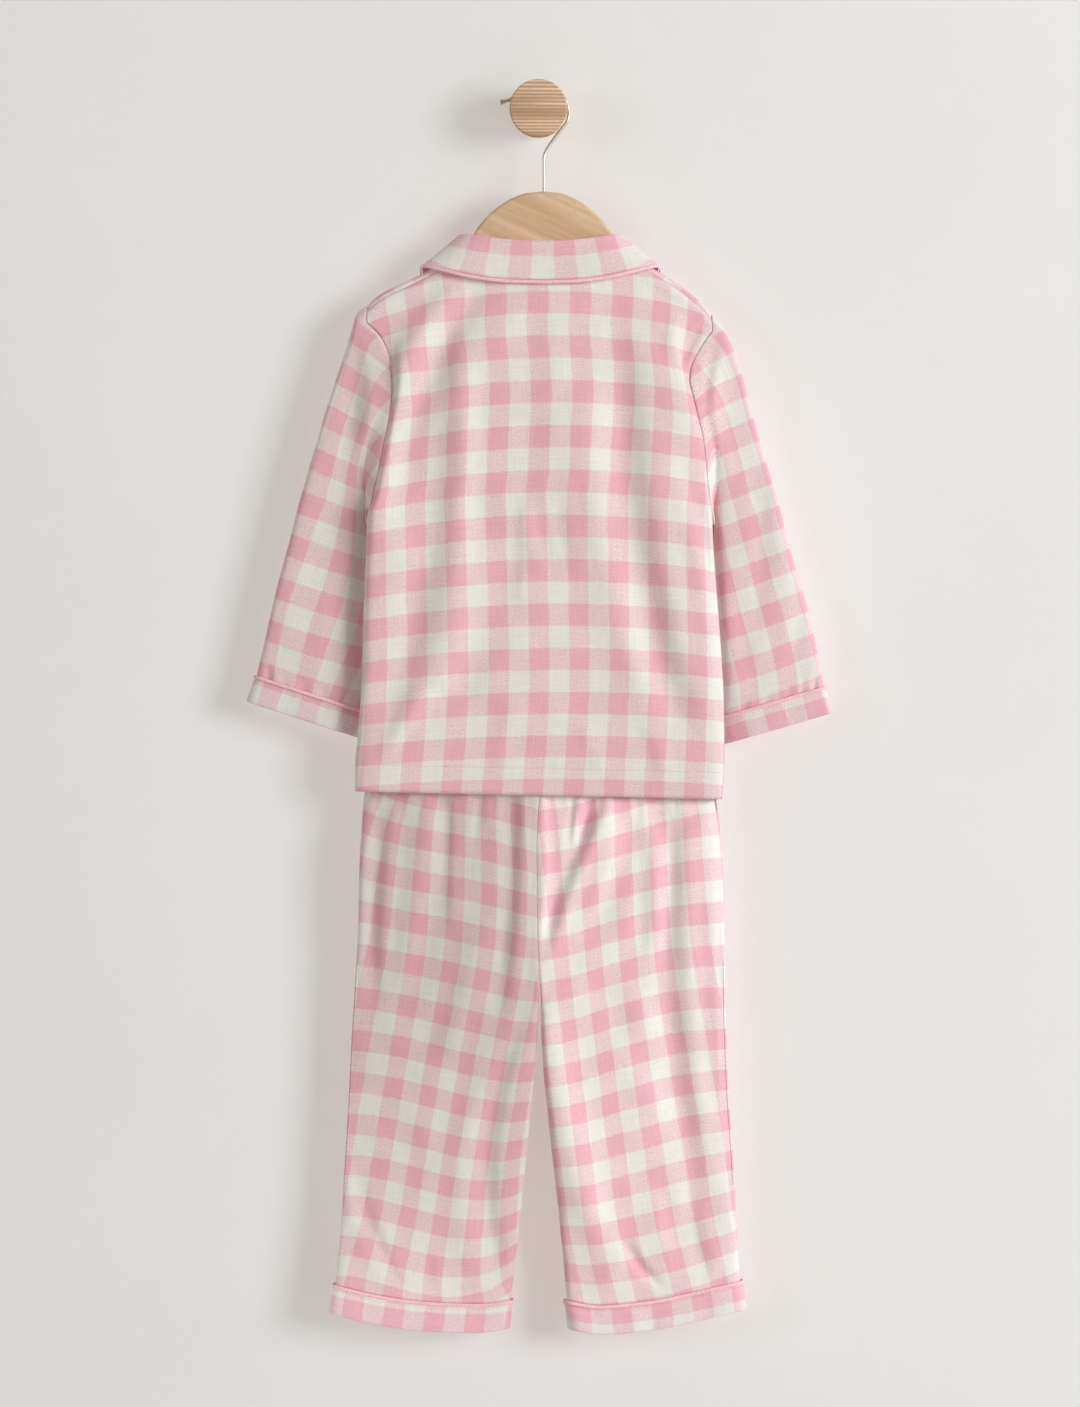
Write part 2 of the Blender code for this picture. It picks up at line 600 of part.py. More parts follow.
def sleeve_grid(table, ring):
    """Rings of a sleeve, from its armhole to its cuff seam."""
    rows = {name: column(table, "share", name) for name in Sleeve._fields[1:]}
    low = ring[0, 2]
    high = ring[:, 2].max()
    heights = 2 * (ring[:, 2] - low) / (high - low) - 1
    crest = int(np.argmax(ring[:, 2]))
    facing = [-1 if i < crest else 1 for i in range(len(ring))]
    first = sleeve_section(rows, 0, heights, facing)
    grid = []
    for share in SLEEVE_SHARES:
        keep = max(1 - share / ARMHOLE_REACH, 0) ** 2
        grid.append(sleeve_section(rows, share, heights, facing) + keep * (ring - first))
    return np.array(grid)


def ring_outward(ring, axis):
    """Unit vectors out of a ring, square to its axis."""
    tangent = np.roll(ring, -1, axis=0) - np.roll(ring, 1, axis=0)
    out = np.cross(tangent, axis)
    out /= np.linalg.norm(out, axis=1, keepdims=True)
    if np.sum(out * (ring - ring.mean(axis=0))) < 0:
        out = -out
    return out


def cuff_band(name, ring, drop, turn):
    """A band below the ring that ends a sleeve or leg, with the piping in its upper seam."""
    axis = np.array(drop, float) / np.linalg.norm(drop)
    out = ring_outward(ring, axis)
    top = ring + out * CUFF_PROUD + axis * SEAM_GAP
    rows = []
    for share in (0.0, 0.5, 1.0):
        rows.append(top + np.array(drop) * share + out * CUFF_FLARE * share)
    wall(name, rows, BAND, PINK_CLOTH, ring=True, turn=turn, seams=[("first_row", -axis)])
    cord = top + out * (PIPING_RADIUS + PIPING_GAP) + axis * PIPING_SINK
    tube(name.replace("cuff", "piping"), cord, PIPING_RADIUS, PIPING_CLOTH, closed=True)


def make_sleeves(back, fronts):
    """Sleeves, their cuff bands and piping."""
    for side, name, table in ((-1, "sleeve_left", SLEEVE_LEFT), (1, "sleeve_right", SLEEVE_RIGHT)):
        grid = sleeve_grid(table, armhole(side, back, fronts[side]))
        end = table[-1]
        flat = np.array([end.outer_x - end.inner_x, 0, end.outer_z - end.inner_z])
        down = np.array([-flat[2], 0, flat[0]]) * side * -1
        down *= SLEEVE_CUFF / np.linalg.norm(down)
        seams = [("first_row", (-side, 0, 0)), ("last_row", down / SLEEVE_CUFF)]
        wall(name, grid, CLOTH, PINK_CLOTH, ring=True, turn=-side, seams=seams)
        cuff_band(name.replace("sleeve", "sleeve_cuff"), grid[-1], down, -side)


# Trousers

leg_outer = {-1: column(LEG_LEFT_OUTER, "z", "x"), 1: column(LEG_RIGHT_OUTER, "z", "x")}
leg_inner = {-1: column(LEG_LEFT_INNER, "z", "x"), 1: column(LEG_RIGHT_INNER, "z", "x")}
cuff_line = {-1: column(LEFT_CUFF_LINE, "x", "z"), 1: column(RIGHT_CUFF_LINE, "x", "z")}
leg_depth = {name: column(LEG_DEPTH, "z", name) for name in LegDepth._fields[1:]}


def leg_point(side, face, u, level):
    """A point outside a leg: u runs from the side seam to the inner seam, level up from the cuff."""
    lines = (LEFT_CUFF_LINE if side < 0 else RIGHT_CUFF_LINE)
    outer_z = lines[0].z * (1 - level) + WAIST_BOTTOM * level
    inner_z = lines[-1].z * (1 - level) + WAIST_BOTTOM * level
    x = leg_outer[side](outer_z) * (1 - u) + leg_inner[side](inner_z) * u
    cuff_x = lines[0].x * (1 - u) + lines[-1].x * u
    z = cuff_line[side](cuff_x) * (1 - level) + WAIST_BOTTOM * level
    rise = min(max((inner_z - CROTCH) / CROTCH_CURVE, 0), 1)
    round_under = math.sqrt(1 - (1 - rise) ** 2)
    smooth_under = blend(CROTCH - SEAT_EASE, CROTCH + SEAT_EASE, inner_z)
    opened = smooth_under + (round_under - smooth_under) * u ** SEAT_FADE
    tube_like = math.sqrt(max(1 - abs(2 * u - 1) ** LEG_SQUARE, 0))
    half_like = math.sqrt(max(1 - (1 - u) ** LEG_SQUARE, 0))
    stand = tube_like + (half_like - tube_like) * opened
    edge = leg_depth["side"](z)
    y = edge + (leg_depth["back" if face < 0 else "front"](z) - edge) * stand
    fade = blend(WAIST_BOTTOM - GATHER_LENGTH, WAIST_BOTTOM - GATHER_FULL, z)
    for gather in (BACK_GATHERS if face < 0 else FRONT_GATHERS):
        y -= face * gather.depth * fade * math.exp(-((x - gather.x) / gather.half_width) ** 2)
    return x, y, z


def leg_columns(side, face):
    """Shares across a leg that pass through each gather and midway between them."""
    start = leg_outer[side](WAIST_BOTTOM)
    end = leg_inner[side](WAIST_BOTTOM)
    gathers = BACK_GATHERS if face < 0 else FRONT_GATHERS
    troughs = sorted((g.x - start) / (end - start) for g in gathers if g.x * side > 0)
    between = [(a + b) / 2 for a, b in zip(troughs, troughs[1:])]
    ends = [0, 0.02, 0.065, 0.935, 0.98, 1]
    return sorted(ends + troughs + between)


def leg_grid(side, face, shares):
    """Outer points of one leg panel."""
    return np.array([[leg_point(side, face, u, level) for u in shares] for level in LEG_LEVELS])


def make_trousers():
    """Four panels, waistband, cuff bands and piping."""
    for side, side_name in ((-1, "left"), (1, "right")):
        end_rings = []
        for face, face_name in ((-1, "back"), (1, "front")):
            grid = leg_grid(side, face, leg_columns(side, face))
            end_rings.append(grid[0])
            grid[:, 0, 1] += face * SEAM_GAP / 2
            toward_outer = (0, -face, 0)
            toward_inner = []
            for i, point in enumerate(grid[:, -1]):
                if point[2] > CROTCH:
                    grid[i, -1, 0] += side * SEAM_GAP / 2
                    toward_inner.append((-side, 0, 0))
                else:
                    grid[i, -1, 1] += face * SEAM_GAP / 2
                    toward_inner.append((0, -face, 0))
            seams = [
                ("first_column", toward_outer), ("last_column", toward_inner),
                ("first_row", (0, 0, -1)), ("last_row", (0, 0, 1)),
            ]
            wall("trouser_%s_%s" % (face_name, side_name), grid, CLOTH, PINK_CLOTH, turn=side * face, seams=seams)
        ring = np.concatenate([end_rings[0], end_rings[1][1:-1][::-1]])
        cuff_band("leg_cuff_" + side_name, ring, (side * LEG_CUFF_LEAN, 0, -LEG_CUFF), side)
    make_waistband()


def make_waistband():
    """Elastic waistband, pinned inside the top's hem."""
    turn = np.linspace(0, 2 * math.pi, WAIST_COLUMNS, endpoint=False)
    rows = []
    for z in (WAIST_BOTTOM + SEAM_GAP, (WAIST_BOTTOM + WAIST_TOP) / 2, WAIST_TOP):
        left = leg_outer[-1](z)
        right = leg_outer[1](z)
        edge = leg_depth["side"](z)
        row = []
        for angle in turn:
            t = -math.cos(angle)
            stand = math.sqrt(max(1 - abs(t) ** LEG_SQUARE, 0))
            deep = leg_depth["back" if math.sin(angle) > 0 else "front"](z)
            row.append(((left + right) / 2 + (right - left) / 2 * t, edge + (deep - edge) * stand, z))
        rows.append(row)
    wall("waistband", rows, BAND, PINK_CLOTH, ring=True, turn=1, seams=[("first_row", (0, 0, -1))])


# Collar

def neck_edge(back, fronts):
    """The body's neck edge, from the left front round the back to the right front."""
    behind = [point for point in back[-1] if abs(point[0] - COLLAR_CENTRE) <= NECK_HALF - 2]
    before = {
        side: [point for point, place in zip(front[-1], FRONT_COLUMNS) if COLLAR_STOP <= place.x < NECK_HALF]
        for side, front in fronts.items()
    }
    return np.array(before[-1][::-1] + behind + before[1])


def half_shares(path, middle):
    """Each point's share of the way from the middle point to the path's end on its side."""
    steps = np.linalg.norm(np.diff(path, axis=0), axis=1)
    reach = np.concatenate(([0], np.cumsum(steps)))
    reach -= reach[middle]
    return [place / reach[-1] if place > 0 else place / -reach[0] for place in reach]


def collar_sections(back, fronts):
    """Sections of the collar from the left front to the right, each from its foot to its edge."""
    values = {name: column(COLLAR, "share", name) for name in Collar._fields[1:]}
    foot = neck_edge(back, fronts)
    sections = []
    for start, share in zip(foot, half_shares(foot, len(foot) // 2)):
        side = -1 if share < 0 else 1
        at = {name: value(abs(share)) for name, value in values.items()}
        centre = COLLAR_CENTRE * (1 - abs(share))
        fold = np.array([centre + side * at["fold_x"], at["fold_y"], at["fold_z"]])
        edge = np.array([centre + side * at["edge_x"], at["edge_y"], at["edge_z"]])
        out = (edge - fold) * (1, 1, 0)
        out /= np.linalg.norm(out)
        inside = fold - out * COLLAR_BEND
        start = start + (inside - start) * COLLAR_GAP / np.linalg.norm(inside - start)
        outside = fold + out * COLLAR_BEND
        bend = [fold + COLLAR_BEND * (np.array([0, 0, 1]) * math.sin(a) - out * math.cos(a))
                for a in (math.pi / 4, math.pi / 2, math.pi * 3 / 4)]
        fall = [outside + (edge - outside) * part for part in (0.33, 0.67, 1)]
        sections.append([start, (start + inside) / 2, inside] + bend + [outside] + fall)
    return sections


def make_collar(back, fronts):
    """Collar with its piping."""
    grid = np.array(collar_sections(back, fronts)).transpose(1, 0, 2)
    down = grid[0] - grid[1]
    down /= np.linalg.norm(down, axis=1, keepdims=True)
    wall("collar", grid, CLOTH, PINK_CLOTH, turn=1, seams=[("first_row", down)])
    normals = grid_normals(grid, False)
    middle = grid - normals * CLOTH / 2
    away = grid[-1] - grid[-2]
    away /= np.linalg.norm(away, axis=1, keepdims=True)
    cord = middle[-1] + away * (PIPING_RADIUS + SEAM_GAP)
    tube("collar_piping", cord, PIPING_RADIUS, PIPING_CLOTH)


# Buttons, hanger, hook and peg

def lathe(name, profile, centre, colour, sides):
    """A turned piece on an axis along Y. The profile is radius and y."""
    bm = bmesh.new()
    rings = []
    for radius, y in profile:
        ring = []
        for k in range(sides):
            angle = 2 * math.pi * k / sides
            place = (centre[0] + radius * math.cos(angle), centre[1] + y, centre[2] + radius * math.sin(angle))
            ring.append(bm.verts.new(place))
        rings.append(ring)
    for low, high in zip(rings, rings[1:]):
        for k in range(sides):
            bm.faces.new((low[k], low[(k + 1) % sides], high[(k + 1) % sides], high[k]))
    bm.faces.new(rings[0])
    bm.faces.new(rings[-1])
    return mesh_piece(name, bm, colour, math.radians(30))


def make_buttons():
    """Buttons down the right front."""
    start = front_flat(1, 0, 1)[2]
    low = front_flat(1, 0, 0)[2]
    for number in range(BUTTON_COUNT):
        z = BUTTON_TOP - number * BUTTON_PITCH
        surface = front_flat(1, 0, (z - low) / (start - low))[1] + SEAM_GAP
        profile = (
            (BUTTON_RADIUS - BUTTON_ROUND, 0), (BUTTON_RADIUS, BUTTON_ROUND),
            (BUTTON_RADIUS, BUTTON_THICK - BUTTON_ROUND), (BUTTON_RADIUS - BUTTON_ROUND, BUTTON_THICK),
        )
        lathe("button_%d" % (number + 1), profile, (0, surface, z), PEARL, BUTTON_SIDES)


def make_hanger():
    """Wooden hanger: an arch in the middle and two arms that follow the shoulders."""
    arch = column(HANGER_TOP, "x", "z")
    outline_top = []
    outline_bottom = []
    for x in np.linspace(-HANGER_REACH, HANGER_REACH, HANGER_POINTS):
        place = CENTRE + x
        crest = back_top_z(place) - ROLL_START + ROLL_HEIGHT
        shoulder = crest - CLOTH - ARM_CLEAR
        share = blend(ARCH_END, ARM_START, abs(x))
        top = arch(abs(x)) * (1 - share) + shoulder * share
        round_off = HANGER_DEEP / 2
        past = max(abs(x) - (HANGER_REACH - round_off), 0) / round_off
        deep = HANGER_DEEP + (HANGER_MIDDLE_DEEP - HANGER_DEEP) * blend(ARCH_END, 0, abs(x))
        squeeze = (1 - math.sqrt(max(1 - past * past, ARM_BLUNT))) * HANGER_DEEP / 2
        outline_top.append((place, top - squeeze))
        outline_bottom.append((place, top - deep + squeeze))
    outline = outline_top + outline_bottom[::-1]
    bm = bmesh.new()
    face = bm.faces.new([bm.verts.new((x, HOOK_Y - ARM_THICK / 2, z)) for x, z in outline])
    swept = bmesh.ops.extrude_face_region(bm, geom=[face])
    moved = [item for item in swept["geom"] if isinstance(item, bmesh.types.BMVert)]
    bmesh.ops.translate(bm, verts=moved, vec=(0, ARM_THICK, 0))
    hanger = mesh_piece("hanger", bm, BEECH, math.radians(30))
    rounding = hanger.modifiers.new("rounding", "BEVEL")
    rounding.width = ARM_ROUND * MM
    rounding.segments = 1
    rounding.limit_method = "ANGLE"
    rounding.angle_limit = math.radians(60)


def make_hook():
    """Wire hook, from its bulb tip round the crook and down to the wood."""
    path = list(HOOK_TIP)
    for angle in np.linspace(CROOK_START, CROOK_END, CROOK_STEPS):
        turn = math.radians(angle)
        height = CROOK_RISE if angle > 0 else CROOK_RADIUS
        path.append(Wire(CROOK_X + CROOK_RADIUS * math.cos(turn), CROOK_Z + height * math.sin(turn), 1))
    path += HOOK_SHANK
    path.append(Wire(HOOK_SHANK[-1].x, HANGER_TOP[0].z + SEAM_GAP, 1))
    hook = tube("hook", [(row.x, HOOK_Y, row.z) for row in path], HOOK_RADIUS, NICKEL, sides=8)
    for point, row in zip(hook.data.splines[0].points, path):
        point.radius = row.scale


def make_peg():
    """Turned wall peg: a thick stem with a flat round head."""
    front = -(STEM_LENGTH + DISC_THICK)
    profile = (
        (STEM_RADIUS, 0.0), (STEM_RADIUS, -STEM_LENGTH), (DISC_RADIUS - DISC_ROUND, -STEM_LENGTH),
        (DISC_RADIUS, -STEM_LENGTH - DISC_ROUND), (DISC_RADIUS, front + DISC_ROUND),
        (DISC_RADIUS - DISC_ROUND, front),
    )
    lathe("wall_peg", profile, (0, 0, 0), BEECH, PEG_SIDES)


def main():
    """Build every piece."""
    for old in list(bpy.data.objects):
        bpy.data.objects.remove(old)
    back, fronts = make_top()
    make_sleeves(back, fronts)
    make_collar(back, fronts)
    make_trousers()
    make_buttons()
    make_hanger()
    make_hook()
    make_peg()


main()
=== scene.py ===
"""The dressed scene of a child's gingham pyjama set on a wooden hanger and wall peg.

Tables and sizes are in millimetres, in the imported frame: the wall is the plane y = 0, +X is to the
right for someone who faces the wall, +Z is up, and the set hangs with its back towards the room,
which is the -Y side. "Left" and "right" are the wearer's own. Meshes are made in metres.
"""
import math
from collections import namedtuple

import bmesh
import bpy
import numpy as np
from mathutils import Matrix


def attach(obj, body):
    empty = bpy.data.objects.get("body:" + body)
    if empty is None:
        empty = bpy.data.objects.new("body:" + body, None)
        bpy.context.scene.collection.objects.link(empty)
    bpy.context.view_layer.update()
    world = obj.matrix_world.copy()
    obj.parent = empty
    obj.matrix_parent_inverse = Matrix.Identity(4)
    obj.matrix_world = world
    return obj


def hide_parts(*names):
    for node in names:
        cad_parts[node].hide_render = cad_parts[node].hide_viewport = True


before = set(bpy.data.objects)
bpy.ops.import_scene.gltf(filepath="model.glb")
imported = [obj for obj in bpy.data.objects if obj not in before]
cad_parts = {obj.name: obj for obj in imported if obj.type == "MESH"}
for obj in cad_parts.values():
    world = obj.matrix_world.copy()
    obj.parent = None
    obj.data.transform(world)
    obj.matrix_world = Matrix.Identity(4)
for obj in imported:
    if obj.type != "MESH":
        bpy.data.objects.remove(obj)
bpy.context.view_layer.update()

MM = 0.001

SIDES = {-1: "left", 1: "right"}
FACES = {-1: "back", 1: "front"}

# Cloth
CLOTH = 1.2             # thickness of the brushed cotton
BAND = 2.0              # thickness of a cuff band, folded double
SEAM_GAP = 0.3          # between two pieces at a seam
PIPING_RADIUS = 1.5
PIPING_GAP = 0.3        # from a cuff band out to its piping
PIPING_SINK = 0.4       # from a cuff's upper edge down to the middle of its piping
ROLL_HEIGHT = 14.0      # rise of the cloth where it rolls over the hanger's arms
SEAM_ANGLE = 40.0       # round that roll from the back, where the back ends at the shoulder seam
LAP_ANGLE = 41.5        # the same for the fronts
LAP = 10.0              # how far each front passes the centre line
LAP_STEP = 1.7          # how far the right front stands out over the left one
LAP_FADE = 50.0         # how far from the centre line that step has ended
WAIST_TOP = -528.0
WAIST_BOTTOM = -553.0
SLEEVE_CUFF = 22.0
LEG_CUFF = 23.0
LEG_CUFF_LEAN = 3.0     # how far a leg's cuff leans outwards over its height
CUFF_PROUD = 1.0        # how far a cuff band stands out from the cloth above it
CUFF_FLARE = 0.5        # how much further out its lower fold lies

# The check, as it lies on the cut cloth: one pink and one white stripe
CHECK_ACROSS = 33.6
CHECK_DOWN = 36.3

# Sewing
HEM = 22.0              # from the top's hem up to its stitch line
PLACKET = 21.0          # from a front's edge to the stitch line of its facing
CUFF_STITCH = 3.6       # from a cuff's upper edge to its stitch line
CUFF_SECOND = 5.6       # the same for a sleeve cuff's second stitch line
COLLAR_STITCH = 3.2     # from the collar's edge to its stitch line
STITCH_LENGTH = 2.1
STITCH_PITCH = 3.1
STITCH_RADIUS = 0.22
BUTTON_COUNT = 5
BUTTON_RADIUS = 5.8
BUTTON_THICK = 2.4
BUTTON_TOP = -193.0
BUTTON_PITCH = 76.0
BUTTON_RIM = 0.5
BUTTON_SLOPE = 0.9      # width of the slope inside the rim
BUTTON_DISH = 0.7       # depth of the dish
BUTTON_EASE = 0.25      # how far its edges are rounded
BUTTON_FLAT = 0.6       # width of the flat ring in the dish, outside the holes
HOLE_PLACE = 1.25       # a hole's distance from the button's middle, across and up
HOLE_RADIUS = 0.62
HOLE_DRILL = 6.0        # length of the drill
THREAD_REACH = 1.6      # half of a thread's length over the button
THREAD_SINK = 0.75

# Hanger, hook and peg
CENTRE = 3.6            # the hanger's own middle, right of the peg's
ARM_THICK = 11.0
HOOK_RADIUS = 1.4       # of the wire
HOOK_Y = -34.7          # middle of the wire and of the hanger's thickness
STEM_RADIUS = 19.0
STEM_LENGTH = 45.0
DISC_RADIUS = 23.7
DISC_THICK = 12.0
DISC_EASE = 1.3         # how far the head's rims are rounded

# Camera: the photograph's frame is 1080 by 1407
CAMERA_PLACE = (1.23, -5055.0, -488.3)
FRAME_HEIGHT = 1153.74  # millimetres that the frame takes in at the cloth's own distance
CLOTH_DISTANCE = 5000.0
SENSOR = 36.0

# The top: its side edges from hem to shoulder, its shoulder line, and how deep it lies at each level
Edge = namedtuple("Edge", "z x")
TOP_LEFT = (
    Edge(-560.5, -151.0), Edge(-544, -151.2), Edge(-511, -148.3), Edge(-463, -145.3), Edge(-408, -143.8),
    Edge(-370, -142.2), Edge(-329, -140.6), Edge(-316, -136.5), Edge(-298, -132.8), Edge(-272, -127.6),
    Edge(-242, -121.8), Edge(-222, -120.0), Edge(-208, -120.6), Edge(-195, -122.8), Edge(-185, -126.4),
    Edge(-176, -131.3), Edge(-166, -141.4),
)
TOP_RIGHT = (
    Edge(-566.9, 151.0), Edge(-538, 153.0), Edge(-490, 152.6), Edge(-449, 150.6), Edge(-408, 147.7),
    Edge(-362, 144.3), Edge(-322, 142.0), Edge(-301, 138.9), Edge(-267, 135.6), Edge(-248, 131.6),
    Edge(-228, 126.8), Edge(-214, 123.8), Edge(-204, 124.6), Edge(-194, 129.0), Edge(-184, 134.6),
    Edge(-173, 142.6),
)
TOP_EDGES = {-1: TOP_LEFT, 1: TOP_RIGHT}
SHOULDER = {side: abs(table[-1].x) for side, table in TOP_EDGES.items()}
UNDERARM = 0.587        # share of the top's height
Line = namedtuple("Line", "x z")
BACK_TOP = (
    Line(-141.4, -166.0), Line(-130.6, -156.6), Line(-117, -149.6), Line(-105, -144.0), Line(-92, -137.8),
    Line(-76, -130.0), Line(-60, -130.5), Line(-30, -133.0), Line(3.6, -134.0), Line(36, -133.0),
    Line(66, -130.5), Line(84, -131.0), Line(99, -138.0), Line(110, -144.6), Line(124, -155.0),
    Line(133, -162.6), Line(142.6, -173.0),
)
TopDepth = namedtuple("TopDepth", "level back_edge back_middle front_edge front_middle")
TOP_DEPTH = (
    TopDepth(0.00, -38.5, -56.5, -38.5, -10.0), TopDepth(0.08, -40.5, -57.5, -40.5, -9.5),
    TopDepth(0.20, -44.0, -58.5, -44.0, -9.0), TopDepth(0.40, -44.5, -60.0, -44.5, -8.5),
    TopDepth(0.587, -44.5, -60.0, -44.5, -8.5), TopDepth(0.65, -47.0, -59.5, -33.0, -8.5),
    TopDepth(0.75, -49.5, -58.5, -23.0, -9.0), TopDepth(0.85, -49.5, -56.0, -20.5, -9.5),
    TopDepth(0.93, -47.0, -52.5, -22.0, -10.5), TopDepth(1.00, -43.0, -48.0, -25.0, -12.0),
)
NECK_POINT = 72.0       # from the centre line to where the shoulder seam meets the neck
# Where a front's cloth ends on the roll, and how far its neck drops, at distances from the centre line
FrontColumn = namedtuple("FrontColumn", "x roll_end drop")
FRONT_COLUMNS = (
    FrontColumn(141.5, LAP_ANGLE, 0), FrontColumn(86, LAP_ANGLE, 0), FrontColumn(78, LAP_ANGLE, 0),
    FrontColumn(74, 100, 0), FrontColumn(70, 165, 0), FrontColumn(62, 180, 14), FrontColumn(50, 180, 25),
    FrontColumn(34, 180, 34), FrontColumn(14, 180, 38), FrontColumn(-LAP, 180, 39),
)
# How square each section's side edges are: 2 is a round tube, and more is flatter
BODY_SQUARE = 18.0
OPEN_SQUARE = 14.0
FRONT_SQUARE = 2.2
WAIST_SQUARE = 2.6
LEG_SQUARE = 20.0
NECK_WIDTH = 0.42
FRONT_NECK_WIDTH = 0.65
SIDE_FILL = 0.5         # how far the cloth's side seams are drawn out towards the back's own plane
# Shares of the top's height over which one section goes over into the next
OPEN_LEVELS = (0.57, 0.68)
NECK_LEVELS = (0.82, 1.0)
FILL_LEVELS = (0.98, 0.82)
FRONT_FILL_LEVELS = (0.66, UNDERARM)
FRONT_NECK_LEVELS = (0.85, 1.0)

# Sleeves: both folds at shares of the length from armhole to cuff, and the depth of the tube
Sleeve = namedtuple("Sleeve", "share outer_x outer_z inner_x inner_z middle_y half_depth tip_y")
SLEEVE_LEFT = (
    Sleeve(0.00, -143.5, -162, -141.0, -329, -34, 15, -43.5),
    Sleeve(0.04, -151.0, -168, -141.0, -332, -33, 15, -40),
    Sleeve(0.10, -154.5, -182, -141.0, -337, -32, 15, -36),
    Sleeve(0.18, -163.0, -209, -141.0, -346, -30, 15, -31),
    Sleeve(0.28, -173.0, -240, -141.0, -358, -29, 15, -28),
    Sleeve(0.40, -184.5, -280, -141.0, -378, -28, 15, -26),
    Sleeve(0.52, -195.5, -318, -141.5, -400, -27, 15, -25),
    Sleeve(0.64, -205.5, -356, -142.0, -423, -26, 14.5, -25),
    Sleeve(0.76, -215.5, -393, -142.0, -447, -26, 14, -25),
    Sleeve(0.88, -224.5, -431, -142.5, -471, -26, 13, -25),
    Sleeve(1.00, -232.3, -466, -143.0, -495, -26, 11, -25),
)
SLEEVE_RIGHT = (
    Sleeve(0.00, 145.0, -169, 142.5, -322, -34, 15, -43.5),
    Sleeve(0.04, 151.5, -177, 142.5, -325, -33, 15, -40),
    Sleeve(0.10, 158.5, -190, 142.5, -331, -32, 15, -36),
    Sleeve(0.18, 166.5, -213, 142.5, -340, -30, 15, -31),
    Sleeve(0.28, 175.0, -246, 142.5, -354, -29, 15, -28),
    Sleeve(0.40, 186.0, -284, 143.5, -375, -28, 15, -26),
    Sleeve(0.52, 197.5, -323, 145.0, -398, -27, 15, -25),
    Sleeve(0.64, 207.5, -362, 146.5, -423, -26, 14.5, -25),
    Sleeve(0.76, 218.0, -399, 147.5, -449, -26, 14, -25),
    Sleeve(0.88, 228.0, -437, 148.5, -475, -26, 13, -25),
    Sleeve(1.00, 235.0, -475, 149.0, -500, -26, 11, -25),
)
SLEEVES = {-1: SLEEVE_LEFT, 1: SLEEVE_RIGHT}
SLEEVE_FULLNESS = 20.0
SLEEVE_ROUND = 22.0     # how far out a sleeve's back rounds away towards the body's side
ARMHOLE_GAP = 0.4
ARMHOLE_REACH = 0.3     # share of the sleeve's length over which the armhole's own shape fades
UNDERARM_HOLLOW = 0.5   # how much sooner the sleeve falls back from the armhole low down on its back
# Places round a sleeve, from -1 at its inner fold to 1 at its outer one, and shares of its length
ROUND_PLACES = (0.2, -0.4)
ROUND_SHARES = (0.0, 0.1)
HOLLOW_PLACES = (0.2, -0.6)
FILL_SHARES = (0.0, 0.3)

# Trousers: side and inner edges from cuff to waist, the cuffs' upper edges, and the depth of the legs
LEG_LEFT_OUTER = (
    Edge(-966.6, -167.7), Edge(-913, -162.5), Edge(-864, -159.2), Edge(-815, -156.2), Edge(-770, -154.0),
    Edge(-730, -151.6), Edge(-686, -149.2), Edge(-636, -148.2), Edge(-589, -146.0), Edge(-564, -143.9),
    Edge(-553, -140.0), Edge(-528, -132.0),
)
# The seam that both legs share above the crotch
SEAT_SEAM = (
    Edge(-733, 1.2), Edge(-698, 0.0), Edge(-652, -1.3), Edge(-604, -1.6), Edge(-582, -0.7), Edge(-553, 1.3),
    Edge(-528, 2.0),
)
LEG_LEFT_INNER = (
    Edge(-979, -22.1), Edge(-938, -17.3), Edge(-905, -13.4), Edge(-858, -8.8), Edge(-815, -4.4),
    Edge(-776, -1.2), Edge(-748, 0.6),
) + SEAT_SEAM
LEG_RIGHT_INNER = (
    Edge(-979, 22.3), Edge(-949, 19.8), Edge(-914, 16.5), Edge(-873, 12.6), Edge(-832, 9.2), Edge(-799, 5.9),
    Edge(-766, 2.6), Edge(-748, 1.4),
) + SEAT_SEAM
LEG_RIGHT_OUTER = (
    Edge(-963.4, 166.7), Edge(-929, 164.2), Edge(-888, 161.8), Edge(-848, 159.2), Edge(-807, 156.4),
    Edge(-770, 154.8), Edge(-730, 153.7), Edge(-686, 153.2), Edge(-636, 152.4), Edge(-594, 149.9),
    Edge(-567, 147.3), Edge(-553, 143.0), Edge(-528, 135.0),
)
CROTCH = -742.0
CROTCH_CURVE = 46.0
SEAT_EASE = 75.0
SEAT_FADE = 8
# Heights over which a leg's section goes over into the next one
LEG_ROUND_HEIGHTS = (-600, WAIST_BOTTOM)
LEG_FILL_HEIGHTS = (-570, -640)
LEAN_HEIGHTS = (-720, -620)
LEAN_END_HEIGHTS = (WAIST_BOTTOM, -566)
LEAN_LEVELS = (0.0, 0.22)  # share of the leg's height over which the lean comes in above the cuff
LEFT_CUFF_LINE = (
    Line(-167.7, -966.6), Line(-139, -973.5), Line(-106, -979), Line(-74, -981.5), Line(-45, -982),
    Line(-22, -979),
)
RIGHT_CUFF_LINE = (
    Line(166.7, -963.4), Line(147, -968), Line(123, -973.5), Line(90, -980), Line(50, -983.5),
    Line(22.3, -979.5),
)
CUFF_LINES = {-1: LEFT_CUFF_LINE, 1: RIGHT_CUFF_LINE}
LegDepth = namedtuple("LegDepth", "z side back front")
LEG_DEPTH = (
    LegDepth(-1010, -30, -46.0, -14.0), LegDepth(-900, -30, -46.5, -13.5),
    LegDepth(-800, -30.5, -47.0, -13.5), LegDepth(-740, -31, -48.0, -13.0),
    LegDepth(-690, -32, -50.5, -12.5), LegDepth(-640, -33.5, -51.5, -12.5),
    LegDepth(-600, -36, -51.0, -14.5), LegDepth(-570, -38, -51.5, -16.0),
    LegDepth(-553, -39.0, -54.8, -15.5), LegDepth(-528, -40.0, -55.8, -15.0),
)
